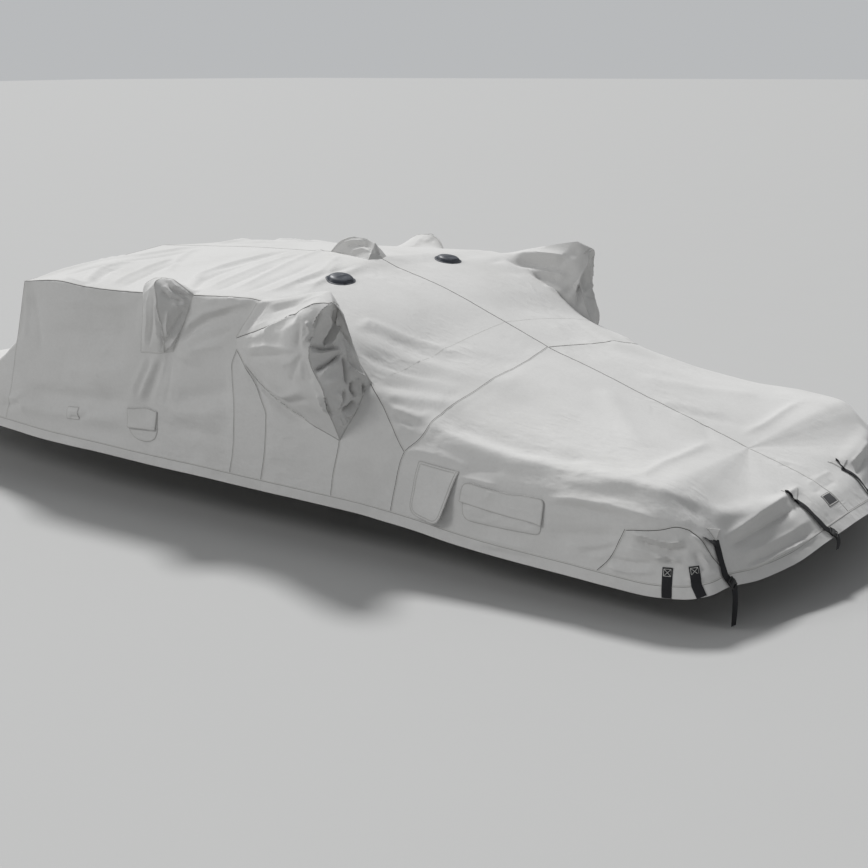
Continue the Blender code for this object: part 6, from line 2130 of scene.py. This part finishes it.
@dataclass(frozen=True)
class Trim:
    """All the flaps, patches, straps and fittings."""

    sewing: Sewing

    SIDE_FLAPS = {
        "cleat_flap": (((-3.869, 2.40, 0.006), (-3.624, 2.40, 0.006), (-3.628, 2.84, 0.115),
                        (-3.862, 2.84, 0.115)), dict(bulge=0.003, seed=1)),
        "hanging_flap": (((-1.815, 1.94, 0.012), (-1.576, 1.845, 0.006), (-1.648, 2.97, 0.080),
                          (-1.862, 2.94, 0.070)),
                         dict(bulge=0.002, lean=(0.055, 0.0), insets=(0.0015, 0.013), held="hung", seed=2)),
        "rounded_patch": (((-1.548, 1.99, 0.055), (-1.075, 2.05, 0.035), (-1.088, 2.66, 0.035),
                           (-1.535, 2.72, 0.055)), dict(bulge=0.009, seed=4)),
    }
    LIDS = {
        "cleat_lid": (((-3.869, 2.405, 0.004), (-3.626, 2.40, 0.004), (-3.640, 2.66, 0.010), (-3.868, 2.69, 0.010)),
                      dict(bulge=0.003, lift=0.0045, lean=(0.0, 0.007), node=False, seed=7)),
        "rounded_lid": (((-1.545, 1.995, 0.052), (-1.078, 2.055, 0.033), (-1.082, 2.47, 0.006), (-1.556, 2.40, 0.006)),
                        dict(bulge=0.003, lift=0.0065, lean=(0.0, 0.005), node=False, seed=8)),
    }
    PATCHES = (("small_patch_port", (-4.380, -4.287, 2.55, 2.74), "canvas", 0.002),
               ("stern_tag", (1.020, 1.140, 1.95, 2.45), "tag", 0.0005))
    CORNER_STRAPS = {"corner_strap_fore": ((-0.420, 2.70), (-0.420, 3.96)),
                     "corner_strap_aft": ((-0.277, 2.64), (-0.2385, 3.96))}
    CORNER_WIDTH = 0.048
    BOXED_CROSS = ((-1, -1), (1, -1), (1, 1), (-1, 1), (-1, -1), (1, 1), (1, -1), (-1, 1))
    STERN_STRAPS = (
        SternStrap("port_outer", Side.PORT, (-0.200, 1.80), (-0.080, 1.70), (-0.112, 2.10), (0.020, HEM), -0.160),
        SternStrap("port_inner", Side.PORT, (0.700, 1.10), (0.905, 1.35), (0.773, 1.70), (0.900, HEM), 0.020),
        SternStrap("starboard_inner", Side.STARBOARD, (0.722, 1.05), (0.560, 1.31), (0.726, 1.56), (0.715, HEM),
                   0.010),
        SternStrap("starboard_outer", Side.STARBOARD, (-0.200, 1.80), (-0.080, 1.70), (-0.112, 2.10),
                   (0.020, HEM), -0.160),
    )

    def corner_strap(self, name: str, side: Side) -> None:
        """Webbing sewn on at its head with a boxed cross, and down over the hem.

        Args:
            name: name of the strap.
            side: side of the cover.
        """
        run = seam_run(self.CORNER_STRAPS[name.rsplit("_", 1)[0]], 40)
        _, placed, normals = self.sewing.laid(run, side)
        path = placed + normals * 0.0012
        Webbing(self.CORNER_WIDTH).build(name + "_webbing", path, normals, name)
        along = unit(path[4] - path[0])
        across = unit(np.cross(normals[3], along))
        off = unit(normals[3])
        head = path[0] + along * 0.024 + off * 0.0026
        corners = np.array([head + across * a * 0.017 + along * b * 0.016 for a, b in self.BOXED_CROSS])
        uv = strip_cut(np.array([0, 0.5, 1.0]), np.arange(7) * 0.005)
        for k, (a, b) in enumerate(zip(corners[:-1], corners[1:])):
            line = a + (b - a) * np.linspace(0, 1, 7)[:, None]
            side_way = unit(np.cross(b - a, normals[3])) * 0.0011
            net = line[:, None] + side_way * np.array([-1, 0, 1])[None, :, None]
            up = off * np.array([0.0002, 0.0009, 0.0002])[None, :, None]
            slab(f"{name}_stitch_{k + 1}", net - off * 0.0012, net + up, "thread", uv)

    def build(self) -> None:
        """Sew everything on."""
        for side in Side:
            for name, (corners, choices) in {**self.SIDE_FLAPS, **self.LIDS}.items():
                Flap(f"{name}_{side.word}", corners, side, **choices).build(self.sewing)
            for name in self.CORNER_STRAPS:
                self.corner_strap(f"{name}_{side.word}", side)
            Vent("vent_" + side.word, side).build(self.sewing)
        for name, (fore, aft, top, low), look, bulge in self.PATCHES:
            corners = ((fore, top, 0.004), (aft, top, 0.004), (aft, low, 0.004), (fore, low, 0.004))
            Flap(name, corners, Side.PORT, look, bulge=bulge, rings=10, seed=5).build(self.sewing)
        for strap in self.STERN_STRAPS:
            strap.build(self.sewing)


# --- camera, light and floor ----------------------------------------------------------------------------------
@dataclass(frozen=True)
class Studio:
    """Camera at the viewing angle, soft light from above, and a pale floor."""

    place: tuple[float, float, float] = (2.5337, -7.1925, 2.3868)
    azimuth: float = 35.587
    elevation: float = 13.926
    roll: float = -0.393
    lens: float = 63.09
    floor: float = -0.175

    LAMPS = (("key", (0.42, -0.34, -0.83), 11.0, 2.80), ("fill", (0.52, 0.62, -0.52), 18.0, 0.80))
    SKY, SKY_LIGHT, SKY_SEEN = (0.96, 0.98, 1.0, 1.0), 0.34, 0.50
    FLOOR_TONES, HALF_FLOOR = ((0.42, 0.42, 0.416, 1), (0.395, 0.395, 0.391, 1)), 150.0

    def camera(self) -> None:
        """Stand the camera at its place, looking down its azimuth and elevation, turned by its roll."""
        a, e, r = (math.radians(value) for value in (self.azimuth, self.elevation, self.roll))
        back = np.array((math.sin(a) * math.cos(e), -math.cos(a) * math.cos(e), math.sin(e)))
        right = np.array((math.cos(a), math.sin(a), 0.0))
        up = np.cross(back, right)
        right, up = math.cos(r) * right + math.sin(r) * up, math.cos(r) * up - math.sin(r) * right
        data = bpy.data.cameras.new("camera")
        data.lens, data.sensor_width = self.lens, 36.0
        data.clip_start, data.clip_end = 0.05, 200.0
        camera = bpy.data.objects.new("camera", data)
        matrix = np.eye(4)
        matrix[:3, 0], matrix[:3, 1], matrix[:3, 2] = right, up, back
        matrix[:3, 3] = np.array(self.place) - SUPPORT
        camera.matrix_world = Matrix(matrix.tolist())
        bpy.context.scene.collection.objects.link(camera)
        bpy.context.scene.camera = camera

    def lamp(self, name: str, way: Sequence[float], angle: float, power: float) -> None:
        """Hang a broad soft lamp far away, shining along a way.

        Args:
            name: name of the lamp.
            way: the way that it shines.
            angle: its breadth.
            power: its strength.
        """
        data = bpy.data.lights.new(name, "SUN")
        data.angle, data.energy = math.radians(angle), power
        lamp = bpy.data.objects.new(name, data)
        lamp.matrix_world = Vector(way).to_track_quat("-Z", "Y").to_matrix().to_4x4()
        bpy.context.scene.collection.objects.link(lamp)

    def world(self) -> None:
        """Make the sky: what lights the cover, and the tone that the camera sees past the floor."""
        world = bpy.data.worlds.new("studio")
        world.use_nodes = True
        tree = world.node_tree
        background = tree.nodes["Background"]
        seen, other = tree.nodes.new("ShaderNodeLightPath"), tree.nodes.new("ShaderNodeMapRange")
        other.inputs["To Min"].default_value, other.inputs["To Max"].default_value = self.SKY_LIGHT, self.SKY_SEEN
        tree.links.new(seen.outputs["Is Camera Ray"], other.inputs["Value"])
        tree.links.new(other.outputs[0], background.inputs["Strength"])
        background.inputs["Color"].default_value = self.SKY
        bpy.context.scene.world = world
        bpy.context.scene.view_settings.view_transform = "Standard"

    def ground(self) -> None:
        """Lay the floor."""
        graph = Graph("floor")
        tone = graph.blend(graph.noise(graph.place(), 1.5, 2.0) * 0.2, *self.FLOOR_TONES)
        mesh = bpy.data.meshes.new("floor")
        half, z = self.HALF_FLOOR, self.floor - SUPPORT[2]
        mesh.from_pydata([(-half, -half, z), (half, -half, z), (half, half, z), (-half, half, z)], [], [(0, 1, 2, 3)])
        mesh.materials.append(graph.surface(Base_Color=tone, Roughness=0.8))
        floor = bpy.data.objects.new("floor", mesh)
        bpy.context.scene.collection.objects.link(floor)

    def build(self) -> None:
        """Make the camera, lamps, world and floor."""
        self.camera()
        for lamp in self.LAMPS:
            self.lamp(*lamp)
        self.world()
        self.ground()


def main() -> None:
    """Build the cover piece by piece, then its camera, light and floor."""
    logging.basicConfig(level=logging.INFO, format="%(message)s")
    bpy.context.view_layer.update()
    Studio().build()
    pattern = Pattern()
    pattern.cut()
    skin = Skin(pattern)
    skin.weld()
    LOG.info("skin: %d points, %d faces", len(skin.points), len(skin.rings))
    drape = Drape()
    drape.lay()
    skin.drape(drape)
    skin.sew()
    sewing = Sewing(skin)
    Seams(sewing).build()
    Trim(sewing).build()


if __name__ == "__main__":
    main()
